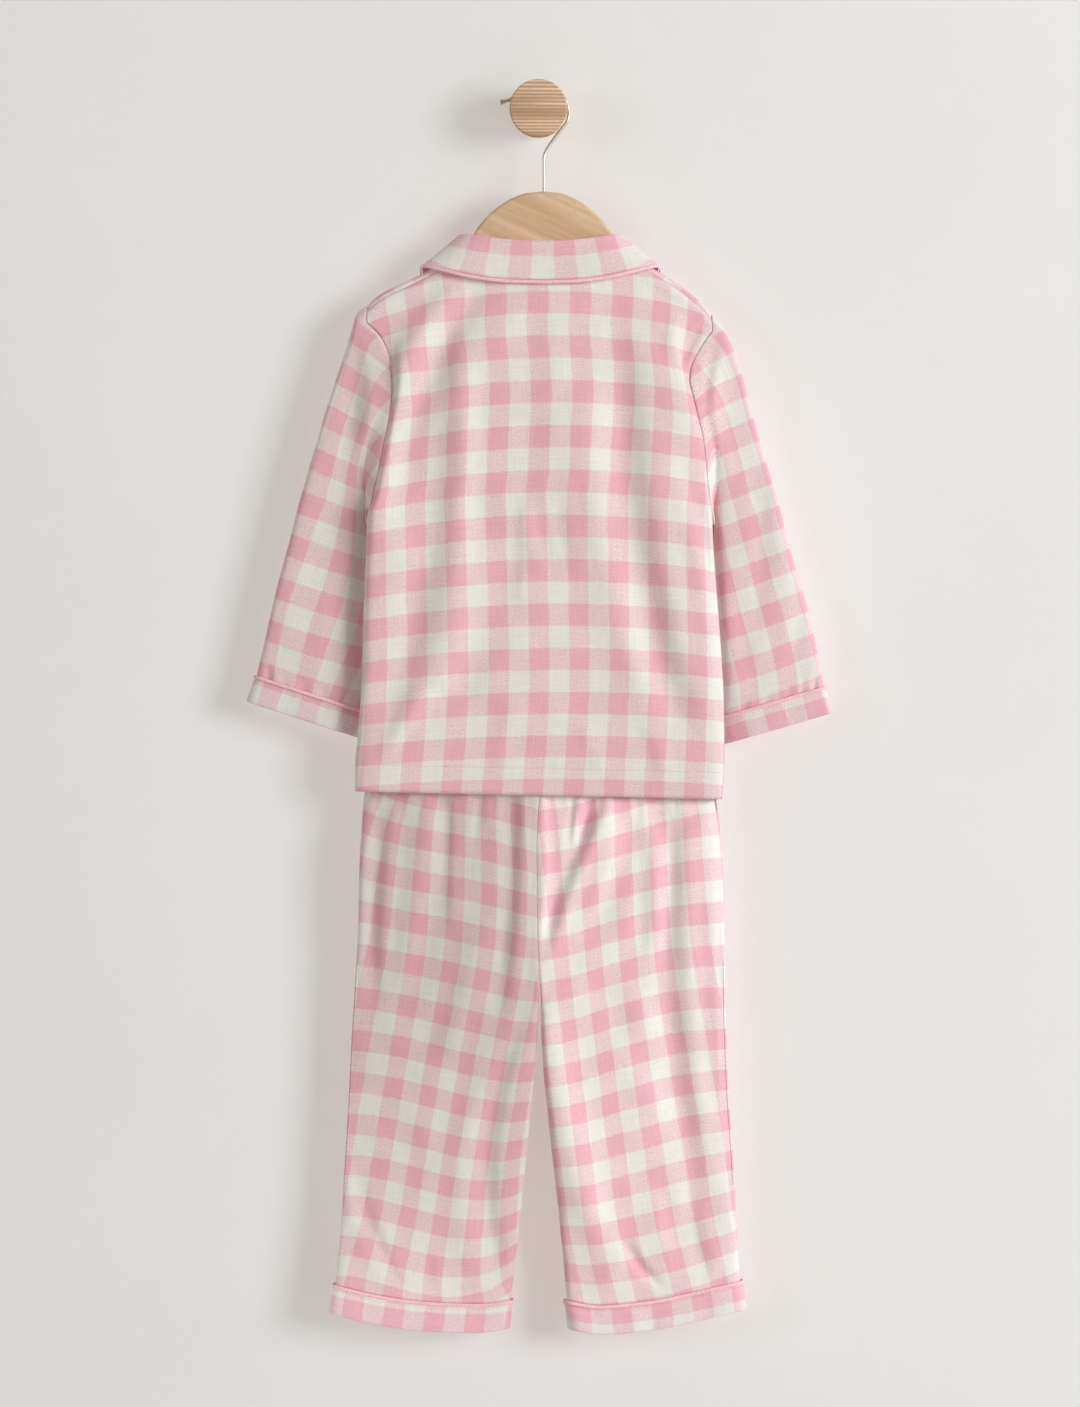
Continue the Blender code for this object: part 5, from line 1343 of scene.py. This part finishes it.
def make_sleeves(back, fronts):
    """Sleeves with their cuffs."""
    for side, side_name in SIDES.items():
        name = "sleeve_" + side_name
        grid = sleeve_grid(side, back, fronts[side])
        run = run_of(grid, 1)
        outer = run[:, [SLEEVE_HALF]]
        across = abs(run - outer)
        up = run_of(grid[::-1], 0)[::-1]
        places = (SLEEVE_GRAIN[side], SLEEVE_PLACES, across, up)
        front_half = np.arange(grid.shape[1]) > SLEEVE_HALF
        spots = np.where(front_half[None, :, None], folded_over(*places), laid(*places))
        normals = normals_of(grid, -side, ring=True)
        down = run_of(grid, 0)
        around = np.minimum(run, run[:, -1:] - run)
        facing_room = blend(*FACING_ROOM, normals[..., 1])
        quiet = blend(*SLEEVE_TOP_QUIET, down) * blend(*SLEEVE_CUFF_QUIET, up)
        lift = fold_lift(grid, SLEEVE_FOLDS[side]) * SLEEVE_PRESS * facing_room * quiet
        mirrored = other_side(SLEEVE_FOLDS[side], *SLEEVE_CHANGE)
        lift += fold_lift(grid, mirrored) * (1 - facing_room) * quiet * blend(*SLEEVE_INNER_QUIET, around)
        lift += uneven(grid, SLEEVE_UNEVEN) * quiet * blend(*SLEEVE_WAVE_QUIET, around)
        for pucker in SLEEVE_PUCKERS[side]:
            aside = ((grid[..., 0] - pucker.x) / pucker.width) ** 2
            hollow = (1 - PUCKER_RIM * aside) * np.exp(-aside)
            lift -= pucker.depth * PUCKER_PRESS * hollow * blend(pucker.length, 1, up)
        lift += seam_dip(down, ARMHOLE_DIP)
        shaped = grid + normals * lift[..., None]
        piece = sew_cloth(name + "_cloth", shaped, spots, -side, ring=True)
        dress(piece, GINGHAM, "gingham", name)
        end = SLEEVES[side][-1]
        flat = np.array([end.outer_x - end.inner_x, 0, end.outer_z - end.inner_z])
        drop = np.array([-flat[2], 0, flat[0]]) * side * -1
        drop *= SLEEVE_CUFF / np.linalg.norm(drop)
        sew_cuff("sleeve", side, grid[-1], drop, outer[-1] - run[-1], SLEEVE_CUFF_CHECK[side],
                 (CUFF_STITCH, CUFF_SECOND))


# The trousers

LEG_ROWS = shares_with(118, (), crowding=0.25)
LEG_ACROSS = shares_with(84, (), crowding=0.45)


def make_trousers():
    """Four panels and two cuffs."""
    for side, side_name in SIDES.items():
        ends = []
        for face, face_name in FACES.items():
            name = "trouser_%s_%s" % (face_name, side_name)
            grid = leg_points(side, face, LEG_ACROSS[None, :], LEG_ROWS[:, None])
            ends.append(grid[0].copy())
            grid[:, 0, 1] += face * SEAM_GAP / 2
            above = grid[:, -1, 2] > CROTCH
            grid[above, -1, 0] += side * SEAM_GAP / 2
            grid[~above, -1, 1] += face * SEAM_GAP / 2
            across = run_of(grid, 1)
            height = run_of(grid, 0)
            lay = laid if face < 0 else folded_over
            spots = lay(LEG_GRAIN[side], LEG_PLACES, across, height)
            turn = side * face
            normals = normals_of(grid, turn)
            inner = across[:, -1:] - across
            folds = LEG_FOLDS[side] if face < 0 else other_side(LEG_FOLDS[side], *LEG_CHANGE)
            quiet = blend(*LEG_SIDE_QUIET, across) * blend(*LEG_SIDE_QUIET, inner)
            quiet = quiet * blend(*LEG_CUFF_QUIET, height) * blend(*LEG_TOP_QUIET, grid[..., 2])
            lift = fold_lift(grid, folds) * LEG_PRESS + uneven(grid, LEG_UNEVEN)
            lift = (lift - HEM_CLEAR * blend(*HEM_CLEAR_HEIGHTS, grid[..., 2])) * quiet
            lift += seam_dip(across, LEG_SIDE_DIP) + seam_dip(inner, LEG_INNER_DIP)
            shaped = under_front(grid + normals * lift[..., None])
            piece = sew_cloth(name + "_cloth", shaped, spots, turn)
            dress(piece, GINGHAM, "gingham", name)
        ring = np.concatenate([ends[0], ends[1][:-1][::-1]])
        run = run_of(ring[:, None], 0)[:, 0]
        drop = (side * LEG_CUFF_LEAN, 0, -LEG_CUFF)
        sew_cuff("leg", side, ring, drop, run, LEG_CUFF_CHECK[side], (CUFF_STITCH,))


WAIST_AROUND = 240
WAIST_ROWS = 24
WAIST_CHANNELS = 3
WAIST_GATHER = 1.7      # how much longer the waistband's cloth is than its elastic
CHANNEL_DIP = 0.3


def make_waistband():
    """Elastic waistband: gathered small, with the channels of its stitching."""
    turn = np.linspace(0, 2 * math.pi, WAIST_AROUND + 1)
    shares = np.linspace(0, 1, WAIST_ROWS + 1)
    z = ((WAIST_BOTTOM + SEAM_GAP) * (1 - shares) + WAIST_TOP * shares)[:, None]
    left = leg_outer[-1](z)
    right = leg_outer[1](z)
    out = -np.cos(turn)
    stand = np.sqrt(np.maximum(1 - abs(out) ** WAIST_SQUARE, 0))
    edge = leg_depth["side"](z)
    deep = np.where(np.sin(turn) > 0, leg_depth["back"](z), leg_depth["front"](z))
    x = (left + right) / 2 + (right - left) / 2 * out
    grid = np.stack(np.broadcast_arrays(x, edge + (deep - edge) * stand, z), axis=-1)
    run = run_of(grid, 1)
    around = rippled(run, WAIST_RIPPLES) - sum(ripple.size for ripple in WAIST_RIPPLES)
    channel = abs(np.sin(np.pi * WAIST_CHANNELS * shares))[:, None] ** 0.5
    lift = around * (0.4 + 0.6 * channel) - CHANNEL_DIP * (1 - channel)
    shaped = under_front(grid + normals_of(grid, 1, ring=True) * lift[..., None])
    spots = np.stack((run * WAIST_GATHER, np.broadcast_to(z, run.shape)), axis=-1) * MM
    piece = sew_cloth("waistband_cloth", shaped, spots, 1, thickness=1.5, ring=True)
    dress(piece, GINGHAM, "gingham", "waistband")


# The collar

COLLAR_HALF = 90        # columns on each side of the collar's middle
STAND_ROWS = 8
BEND_ROWS = 8
COLLAR_CREST = 12       # the row on top of the fold
FALL_SHARES = (0.0, 0.1, 0.2, 0.3, 0.4, 0.5, 0.6, 0.7, 0.78, 0.84, 0.88, 0.9, 0.92, 0.95, 0.98, 1.0)
EVEN = np.linspace(-1, 1, 2 * COLLAR_HALF + 1)


def neck_line(back, fronts):
    """The neck's edge at even shares of its length, from the left front round the back to the right."""
    behind = [point for point in back[-1] if abs(point[0] - COLLAR_CENTRE) <= NECK_HALF - 2]
    before = {}
    for side, grid in fronts.items():
        before[side] = [point for point, place in zip(grid[-1], front_places(side))
                        if COLLAR_STOP <= place < NECK_HALF]
    line = np.array(before[-1][::-1] + behind + before[1])
    reach = run_of(line[:, None], 0)[:, 0]
    reach = reach - reach[len(before[-1]) + len(behind) // 2]
    ends = np.where(EVEN < 0, -reach[0], reach[-1])
    return np.stack([np.interp(EVEN * ends, reach, line[:, axis]) for axis in range(3)], axis=-1)


def collar_grid(neck):
    """Outer points of the collar: up its stand, over the fold and down to its edge."""
    at = {name: column(COLLAR, "share", name)(abs(EVEN)) for name in Collar._fields[1:]}
    centre = COLLAR_CENTRE * (1 - abs(EVEN))
    sign = np.where(EVEN < 0, -1, 1)
    fold = np.stack((centre + sign * at["fold_x"], at["fold_y"], at["fold_z"]), axis=-1)
    edge = np.stack((centre + sign * at["edge_x"], at["edge_y"], at["edge_z"]), axis=-1)
    out = (edge - fold) * (1, 1, 0)
    out /= np.linalg.norm(out, axis=1, keepdims=True)
    inside = fold - out * COLLAR_BEND
    outside = fold + out * COLLAR_BEND
    lean = inside - neck
    foot = neck + lean * COLLAR_GAP / np.linalg.norm(lean, axis=1, keepdims=True)
    rows = [foot + (inside - foot) * share for share in np.linspace(0, 1, STAND_ROWS)]
    for angle in np.linspace(20, 160, BEND_ROWS):
        turn = math.radians(angle)
        rows.append(fold + COLLAR_BEND * (np.array([0, 0, 1]) * math.sin(turn) - out * math.cos(turn)))
    rows += [outside + (edge - outside) * share for share in FALL_SHARES]
    return np.array(rows)


def make_collar(back, fronts):
    """Collar: a stand inside the neck, folded over, and its piped fall."""
    grid = collar_grid(neck_line(back, fronts))
    normals = normals_of(grid, 1)
    down = run_of(grid, 0)
    down = down - down[[COLLAR_CREST]]
    along = run_of(grid[[COLLAR_CREST]], 1)
    along = along - along[:, [COLLAR_HALF]]
    across = along - COLLAR_WHITE + CHECK_ACROSS / 2
    spots = np.stack(np.broadcast_arrays(across, down - COLLAR_ROW), axis=-1) * MM
    from_edge = down[-1:] - down
    lift = seam_dip(from_edge - COLLAR_STITCH, COLLAR_DIP) * (down > 2)
    shaped = grid + normals * lift[..., None]
    piece = sew_cloth("collar_cloth", shaped, spots, 1)
    dress(piece, GINGHAM, "gingham", "collar")
    away = grid[-1] - grid[-2]
    away /= np.linalg.norm(away, axis=1, keepdims=True)
    cord = grid[-1] - normals[-1] * CLOTH / 2 + away * (PIPING_RADIUS + SEAM_GAP)
    piping = round_cord("collar_cord", cord, PIPING_RADIUS, False)
    dress(piping, PIPING, "piping", "collar_piping")
    threads = stitches("collar_stitches", [line_at(COLLAR_STITCH, from_edge, shaped, normals)])


# Buttons, hanger, hook and peg

def edit(piece):
    """Open one piece for editing with nothing selected."""
    select_only(piece)
    bpy.ops.object.mode_set(mode="EDIT")
    bpy.ops.mesh.select_all(action="DESELECT")
    return bmesh.from_edit_mesh(piece.data)


def settle(piece):
    """Close editing and set the piece's place into its mesh."""
    bpy.ops.object.mode_set(mode="OBJECT")
    select_only(piece)
    bpy.ops.object.transform_apply(location=True, rotation=True, scale=True)
    return piece


def add_disc(name, radius, depth, centre, vertices):
    """A flat cylinder on an axis along Y."""
    bpy.ops.object.select_all(action="DESELECT")
    bpy.ops.mesh.primitive_cylinder_add(
        vertices=vertices, radius=radius * MM, depth=depth * MM,
        location=[value * MM for value in centre], rotation=(math.radians(90), 0, 0))
    piece = bpy.context.object
    piece.name = name
    return settle(piece)


LEVEL = 0.99            # how nearly a face must look along an axis to count as flat


def faces_towards(work, axis, sign):
    """Select the flat faces that look along one axis."""
    for face in work.faces:
        if face.normal[axis] * sign > LEVEL:
            face.select_set(True)


def smooth_faces(piece, angle):
    """Smooth shading, with sharp edges where faces meet at more than an angle in degrees."""
    select_only(piece)
    bpy.ops.object.shade_smooth_by_angle(angle=math.radians(angle))


def made_solid(curve, merge, rotation=(0, 0, 0), place=(0, 0, 0)):
    """A curve made a closed mesh, with its doubles merged and its place in its mesh."""
    piece = bpy.data.objects.new(curve.name, curve)
    bpy.context.collection.objects.link(piece)
    select_only(piece)
    bpy.ops.object.convert(target="MESH")
    piece = bpy.context.object
    piece.rotation_euler = rotation
    piece.location = place
    settle(piece)
    edit(piece)
    bpy.ops.mesh.select_all(action="SELECT")
    bpy.ops.mesh.remove_doubles(threshold=merge * MM)
    bpy.ops.mesh.normals_make_consistent(inside=False)
    return settle(piece)


def make_peg():
    """Turned wall peg: a flat round head on a thick stem."""
    centre = (0, -STEM_LENGTH - DISC_THICK / 2, 0)
    peg = add_disc("wall_peg_wood", DISC_RADIUS, DISC_THICK, centre, 96)
    work = edit(peg)
    bpy.ops.mesh.select_mode(type="EDGE")
    for rim in work.edges:
        if abs(rim.verts[0].co.y - rim.verts[1].co.y) < 0.001 * MM:
            rim.select_set(True)
    bmesh.update_edit_mesh(peg.data)
    bpy.ops.mesh.bevel(offset=DISC_EASE * MM, segments=4, affect="EDGES")
    bpy.ops.mesh.select_all(action="DESELECT")
    bpy.ops.mesh.select_mode(type="FACE")
    work = bmesh.from_edit_mesh(peg.data)
    faces_towards(work, 1, 1)
    bmesh.update_edit_mesh(peg.data)
    bpy.ops.mesh.inset(thickness=(DISC_RADIUS - DISC_EASE - STEM_RADIUS) * MM)
    bpy.ops.mesh.extrude_region_move(TRANSFORM_OT_translate={"value": (0, STEM_LENGTH * MM, 0)})
    settle(peg)
    smooth_faces(peg, 35)
    dress(peg, PEG_WOOD, "beech", "wall_peg")


def make_hanger():
    """Wooden hanger: its outline is sawn from a board and its edges are rounded."""
    arch = column(HANGER_TOP, "x", "z")
    places = np.linspace(-HANGER_REACH, HANGER_REACH, HANGER_POINTS)
    crest = back_top_z(CENTRE + places) - ROLL_START + ROLL_HEIGHT
    share = blend(ARCH_END, ARM_START, abs(places))
    top = arch(abs(places)) * (1 - share) + (crest - CLOTH - ARM_CLEAR) * share
    half = HANGER_DEEP / 2
    past = np.maximum(abs(places) - (HANGER_REACH - half), 0) / half
    squeeze = (1 - np.sqrt(np.maximum(1 - past * past, 0.02))) * half
    deep = HANGER_DEEP + (HANGER_MIDDLE_DEEP - HANGER_DEEP) * blend(ARCH_END, 0, abs(places))
    upper = np.stack((CENTRE + places, top - squeeze), axis=-1)
    lower = np.stack((CENTRE + places, top - deep + squeeze), axis=-1)
    outline = np.concatenate((upper, lower[::-1]))
    curve = bpy.data.curves.new("hanger_wood", "CURVE")
    curve.dimensions = "2D"
    curve.fill_mode = "BOTH"
    line = curve.splines.new("POLY")
    line.points.add(len(outline) - 1)
    for point, (x, z) in zip(line.points, outline):
        point.co = (x * MM, z * MM, 0, 1)
    line.use_cyclic_u = True
    curve.extrude = (ARM_THICK / 2 - ARM_ROUND) * MM
    curve.bevel_depth = ARM_ROUND * MM
    curve.bevel_resolution = 4
    curve.offset = -ARM_ROUND * MM
    hanger = made_solid(curve, 0.02, (math.radians(90), 0, 0), (0, HOOK_Y * MM, 0))
    smooth_faces(hanger, 35)
    dress(hanger, HANGER_WOOD, "beech", "hanger")


def make_hook():
    """Wire hook: capped tip, crook over the peg, and shank down into the wood."""
    path = list(HOOK_TIP)
    for angle in np.linspace(CROOK_START, CROOK_END, 40):
        turn = math.radians(angle)
        rise = CROOK_RISE if angle > 0 else CROOK_RADIUS
        path.append(Wire(CROOK_X + CROOK_RADIUS * math.cos(turn), CROOK_Z + rise * math.sin(turn), 1))
    path += HOOK_SHANK
    path.append(Wire(HOOK_SHANK[-1].x, HANGER_TOP[0].z + SEAM_GAP, 1))
    curve = bpy.data.curves.new("hook_wire", "CURVE")
    curve.dimensions = "3D"
    line = curve.splines.new("POLY")
    line.points.add(len(path) - 1)
    for point, row in zip(line.points, path):
        point.co = (row.x * MM, HOOK_Y * MM, row.z * MM, 1)
        point.radius = row.scale
    line.use_smooth = True
    curve.bevel_depth = HOOK_RADIUS * MM
    curve.bevel_resolution = 4
    curve.use_fill_caps = True
    hook = made_solid(curve, 0.01)
    smooth_faces(hook, 40)
    dress(hook, WIRE, "wire", "hook")


def make_button(name, surface, z):
    """One dished button with four holes, on the front's surface at a height."""
    middle = surface + BUTTON_THICK / 2
    button = add_disc(name + "_pearl", BUTTON_RADIUS, BUTTON_THICK, (0, middle, z), 40)
    work = edit(button)
    bpy.ops.mesh.select_mode(type="FACE")
    faces_towards(work, 1, 1)
    bmesh.update_edit_mesh(button.data)
    bpy.ops.mesh.inset(thickness=BUTTON_RIM * MM)
    bpy.ops.mesh.inset(thickness=BUTTON_SLOPE * MM)
    bpy.ops.transform.translate(value=(0, -BUTTON_DISH * MM, 0))
    bpy.ops.mesh.inset(thickness=BUTTON_FLAT * MM)
    settle(button)
    rounding = button.modifiers.new("rounding", "BEVEL")
    rounding.width = BUTTON_EASE * MM
    rounding.segments = 2
    rounding.limit_method = "ANGLE"
    apply_all(button)
    for across, up in ((-1, -1), (-1, 1), (1, -1), (1, 1)):
        place = (across * HOLE_PLACE, middle, z + up * HOLE_PLACE)
        drill = add_disc("drill", HOLE_RADIUS, HOLE_DRILL, place, 12)
        hole = button.modifiers.new("hole", "BOOLEAN")
        hole.operation = "DIFFERENCE"
        hole.object = drill
        apply_all(button)
        bpy.data.objects.remove(drill)
    smooth_faces(button, 35)
    dress(button, PEARL, "button", name)


def make_buttons():
    """Five four-hole buttons, with their thread, on the right front."""
    start = front_flat(1, 0.0, np.array(1.0))[2]
    low = front_flat(1, 0.0, np.array(0.0))[2]
    lines = []
    for number in range(BUTTON_COUNT):
        z = BUTTON_TOP - number * BUTTON_PITCH
        surface = front_flat(1, 0.0, np.array((z - low) / (start - low)))[1] + SEAM_GAP
        make_button("button_%d" % (number + 1), surface, z)
        top = surface + BUTTON_THICK - THREAD_SINK
        for up in (-HOLE_PLACE, HOLE_PLACE):
            path = np.array([(across, top, z + up) for across in (-THREAD_REACH, 0, THREAD_REACH)])
            lines.append((path, np.array([(0.0, 1.0, 0.0)] * 3)))
    return stitches("button_thread", lines)


# Wall, floor, light and camera, in metres

AIM = (0, 0, -0.5)      # the middle of the set
ROOM_SIZE = 9.0
FLOOR_PLACE = (0, -4.5, -1.75)
WALL_TONE = (231, 231, 229)
FLOOR_TONE = (205, 203, 200)
WINDOW_TONE = (252, 253, 255)
WINDOW_SIZE = 3.4
WINDOW_PLACE = (5.4, -5.2, 0.5)
WINDOW_POWER = 525.0
WALL_SHADOW = 0.42      # share of the window's light that throws shadows on the wall
FAR_SHARE = 0.1         # share of the wall's light that comes from the other side of the room
Lamp = namedtuple("Lamp", "name place size power tone shadow")
WALL_LAMPS = (
    Lamp("window", WINDOW_PLACE, WINDOW_SIZE, WINDOW_POWER * WALL_SHADOW, (246, 251, 255), True),
    Lamp("window_on_wall", WINDOW_PLACE, WINDOW_SIZE, WINDOW_POWER * (1 - WALL_SHADOW - FAR_SHARE),
         (255, 249, 245), False),
    Lamp("light_across", (-WINDOW_PLACE[0], *WINDOW_PLACE[1:]), 2.4, WINDOW_POWER * FAR_SHARE,
         (225, 242, 255), True),
)
# The window's light on the cloth comes a little more from the side, and reaches each limb as much as shown
SOFT_LAMP = Lamp("window_on_top", (5.8, -4.87, 0.9), WINDOW_SIZE, 530.0, WINDOW_TONE, True)
LimbLight = namedtuple("LimbLight", "name starts ends share")
LIMB_LIGHTS = (
    LimbLight("on_left_sleeve", ("sleeve_",), "left", 0.86),
    LimbLight("on_right_sleeve", ("sleeve_",), "right", 1.0),
    LimbLight("on_left_leg", ("trouser_", "leg_"), "left", 0.67),
    LimbLight("on_right_leg", ("trouser_", "leg_"), "right", 1.17),
)
# A soft pool of light that lifts the lower end of the left leg
LOW_LAMP = Lamp("light_low", (-1.2, -3.8, -1.5), 0.5, 0.33, WINDOW_TONE, True)
LOW_AIM = (-0.13, 0.0, -1.18)
LOW_SPREAD = 9.5        # degrees
# What the room sends back from the left and from the wall behind
FILL_LAMPS = (
    Lamp("light_beside", (-6.0, -3.0, 0.6), 3.0, 80.0, WINDOW_TONE, True),
    Lamp("light_behind", (0.8, 2.6, 0.4), 1.6, 25.0, WINDOW_TONE, False),
)
SKY_TONE = (255, 246, 239)
SKY_POWER = 0.29


def add_plane(name, place, rotation, finish):
    """A large flat surface of the room."""
    bpy.ops.object.select_all(action="DESELECT")
    bpy.ops.mesh.primitive_plane_add(size=ROOM_SIZE, location=place, rotation=rotation)
    plane = bpy.context.object
    plane.name = name
    settle(plane)
    plane.data.materials.append(finish)
    return plane


def lit_by(name, pieces):
    """The pieces that a light falls on."""
    group = bpy.data.collections.new(name)
    for piece in pieces:
        group.objects.link(piece)
    return group


def hang_lamp(row, receivers, aim=AIM):
    """A soft round lamp that looks at a point and falls on some pieces only."""
    light = bpy.data.lights.new(row.name, "AREA")
    light.shape = "DISK"
    light.size = row.size
    light.energy = row.power
    light.color = daylight(*row.tone)[:3]
    light.use_shadow = row.shadow
    lamp = bpy.data.objects.new(row.name, light)
    bpy.context.collection.objects.link(lamp)
    lamp.location = row.place
    way = np.array(row.place, float) - np.array(aim, float)
    steep = math.atan2(math.hypot(way[0], way[1]), way[2])
    lamp.rotation_euler = (steep, 0, math.atan2(way[1], way[0]) + math.pi / 2)
    lamp.light_linking.receiver_collection = receivers
    return light


def light_cloth(pieces):
    """The window's light on each limb and on the rest, the pool low down, and the room's own light."""
    lit_cloth = lit_by("lit_cloth", pieces)
    groups = {}
    rest = list(pieces)
    for limb in LIMB_LIGHTS:
        own = [piece for piece in pieces if piece.name.startswith(limb.starts) and limb.ends in piece.name]
        rest = [piece for piece in rest if piece not in own]
        groups[limb.name] = lit_by(limb.name, own)
        row = SOFT_LAMP._replace(name="window_" + limb.name, power=SOFT_LAMP.power * limb.share)
        hang_lamp(row, groups[limb.name])
    hang_lamp(SOFT_LAMP, lit_by("on_top", rest))
    low = hang_lamp(LOW_LAMP, groups["on_left_leg"], LOW_AIM)
    low.spread = math.radians(LOW_SPREAD)
    for row in FILL_LAMPS:
        hang_lamp(row, lit_cloth)


def place_camera():
    """A camera square to the wall, with the photograph's frame."""
    camera = bpy.data.cameras.new("camera")
    camera.sensor_width = SENSOR
    camera.lens = SENSOR * CLOTH_DISTANCE / FRAME_HEIGHT
    camera.clip_end = 60
    viewer = bpy.data.objects.new("camera", camera)
    bpy.context.collection.objects.link(viewer)
    viewer.location = [value * MM for value in CAMERA_PLACE]
    viewer.rotation_euler = (math.radians(90), 0, 0)
    bpy.context.scene.camera = viewer


def make_room():
    """Pale wall behind, pale floor well below, soft light from the far right, and the camera."""
    room = [
        add_plane("wall_face", (0, 0, 0), (math.radians(90), 0, 0), wall_paint("wall_paint", WALL_TONE)),
        add_plane("floor", FLOOR_PLACE, (0, 0, 0), wall_paint("floor_paint", FLOOR_TONE)),
    ]
    lit_room = lit_by("lit_room", room)
    for row in WALL_LAMPS:
        hang_lamp(row, lit_room)
    light_cloth([piece for piece in bpy.data.objects if piece.type == "MESH" and piece not in room])
    bpy.context.scene.view_settings.view_transform = "Standard"
    world = bpy.data.worlds.new("room")
    bpy.context.scene.world = world
    world.use_nodes = True
    sky = world.node_tree.nodes["Background"]
    sky.inputs[0].default_value = daylight(*SKY_TONE)
    sky.inputs[1].default_value = SKY_POWER
    place_camera()


back, fronts = make_top()
make_sleeves(back, fronts)
make_trousers()
make_waistband()
make_collar(back, fronts)
make_buttons()
make_hanger()
make_hook()
make_peg()
make_room()
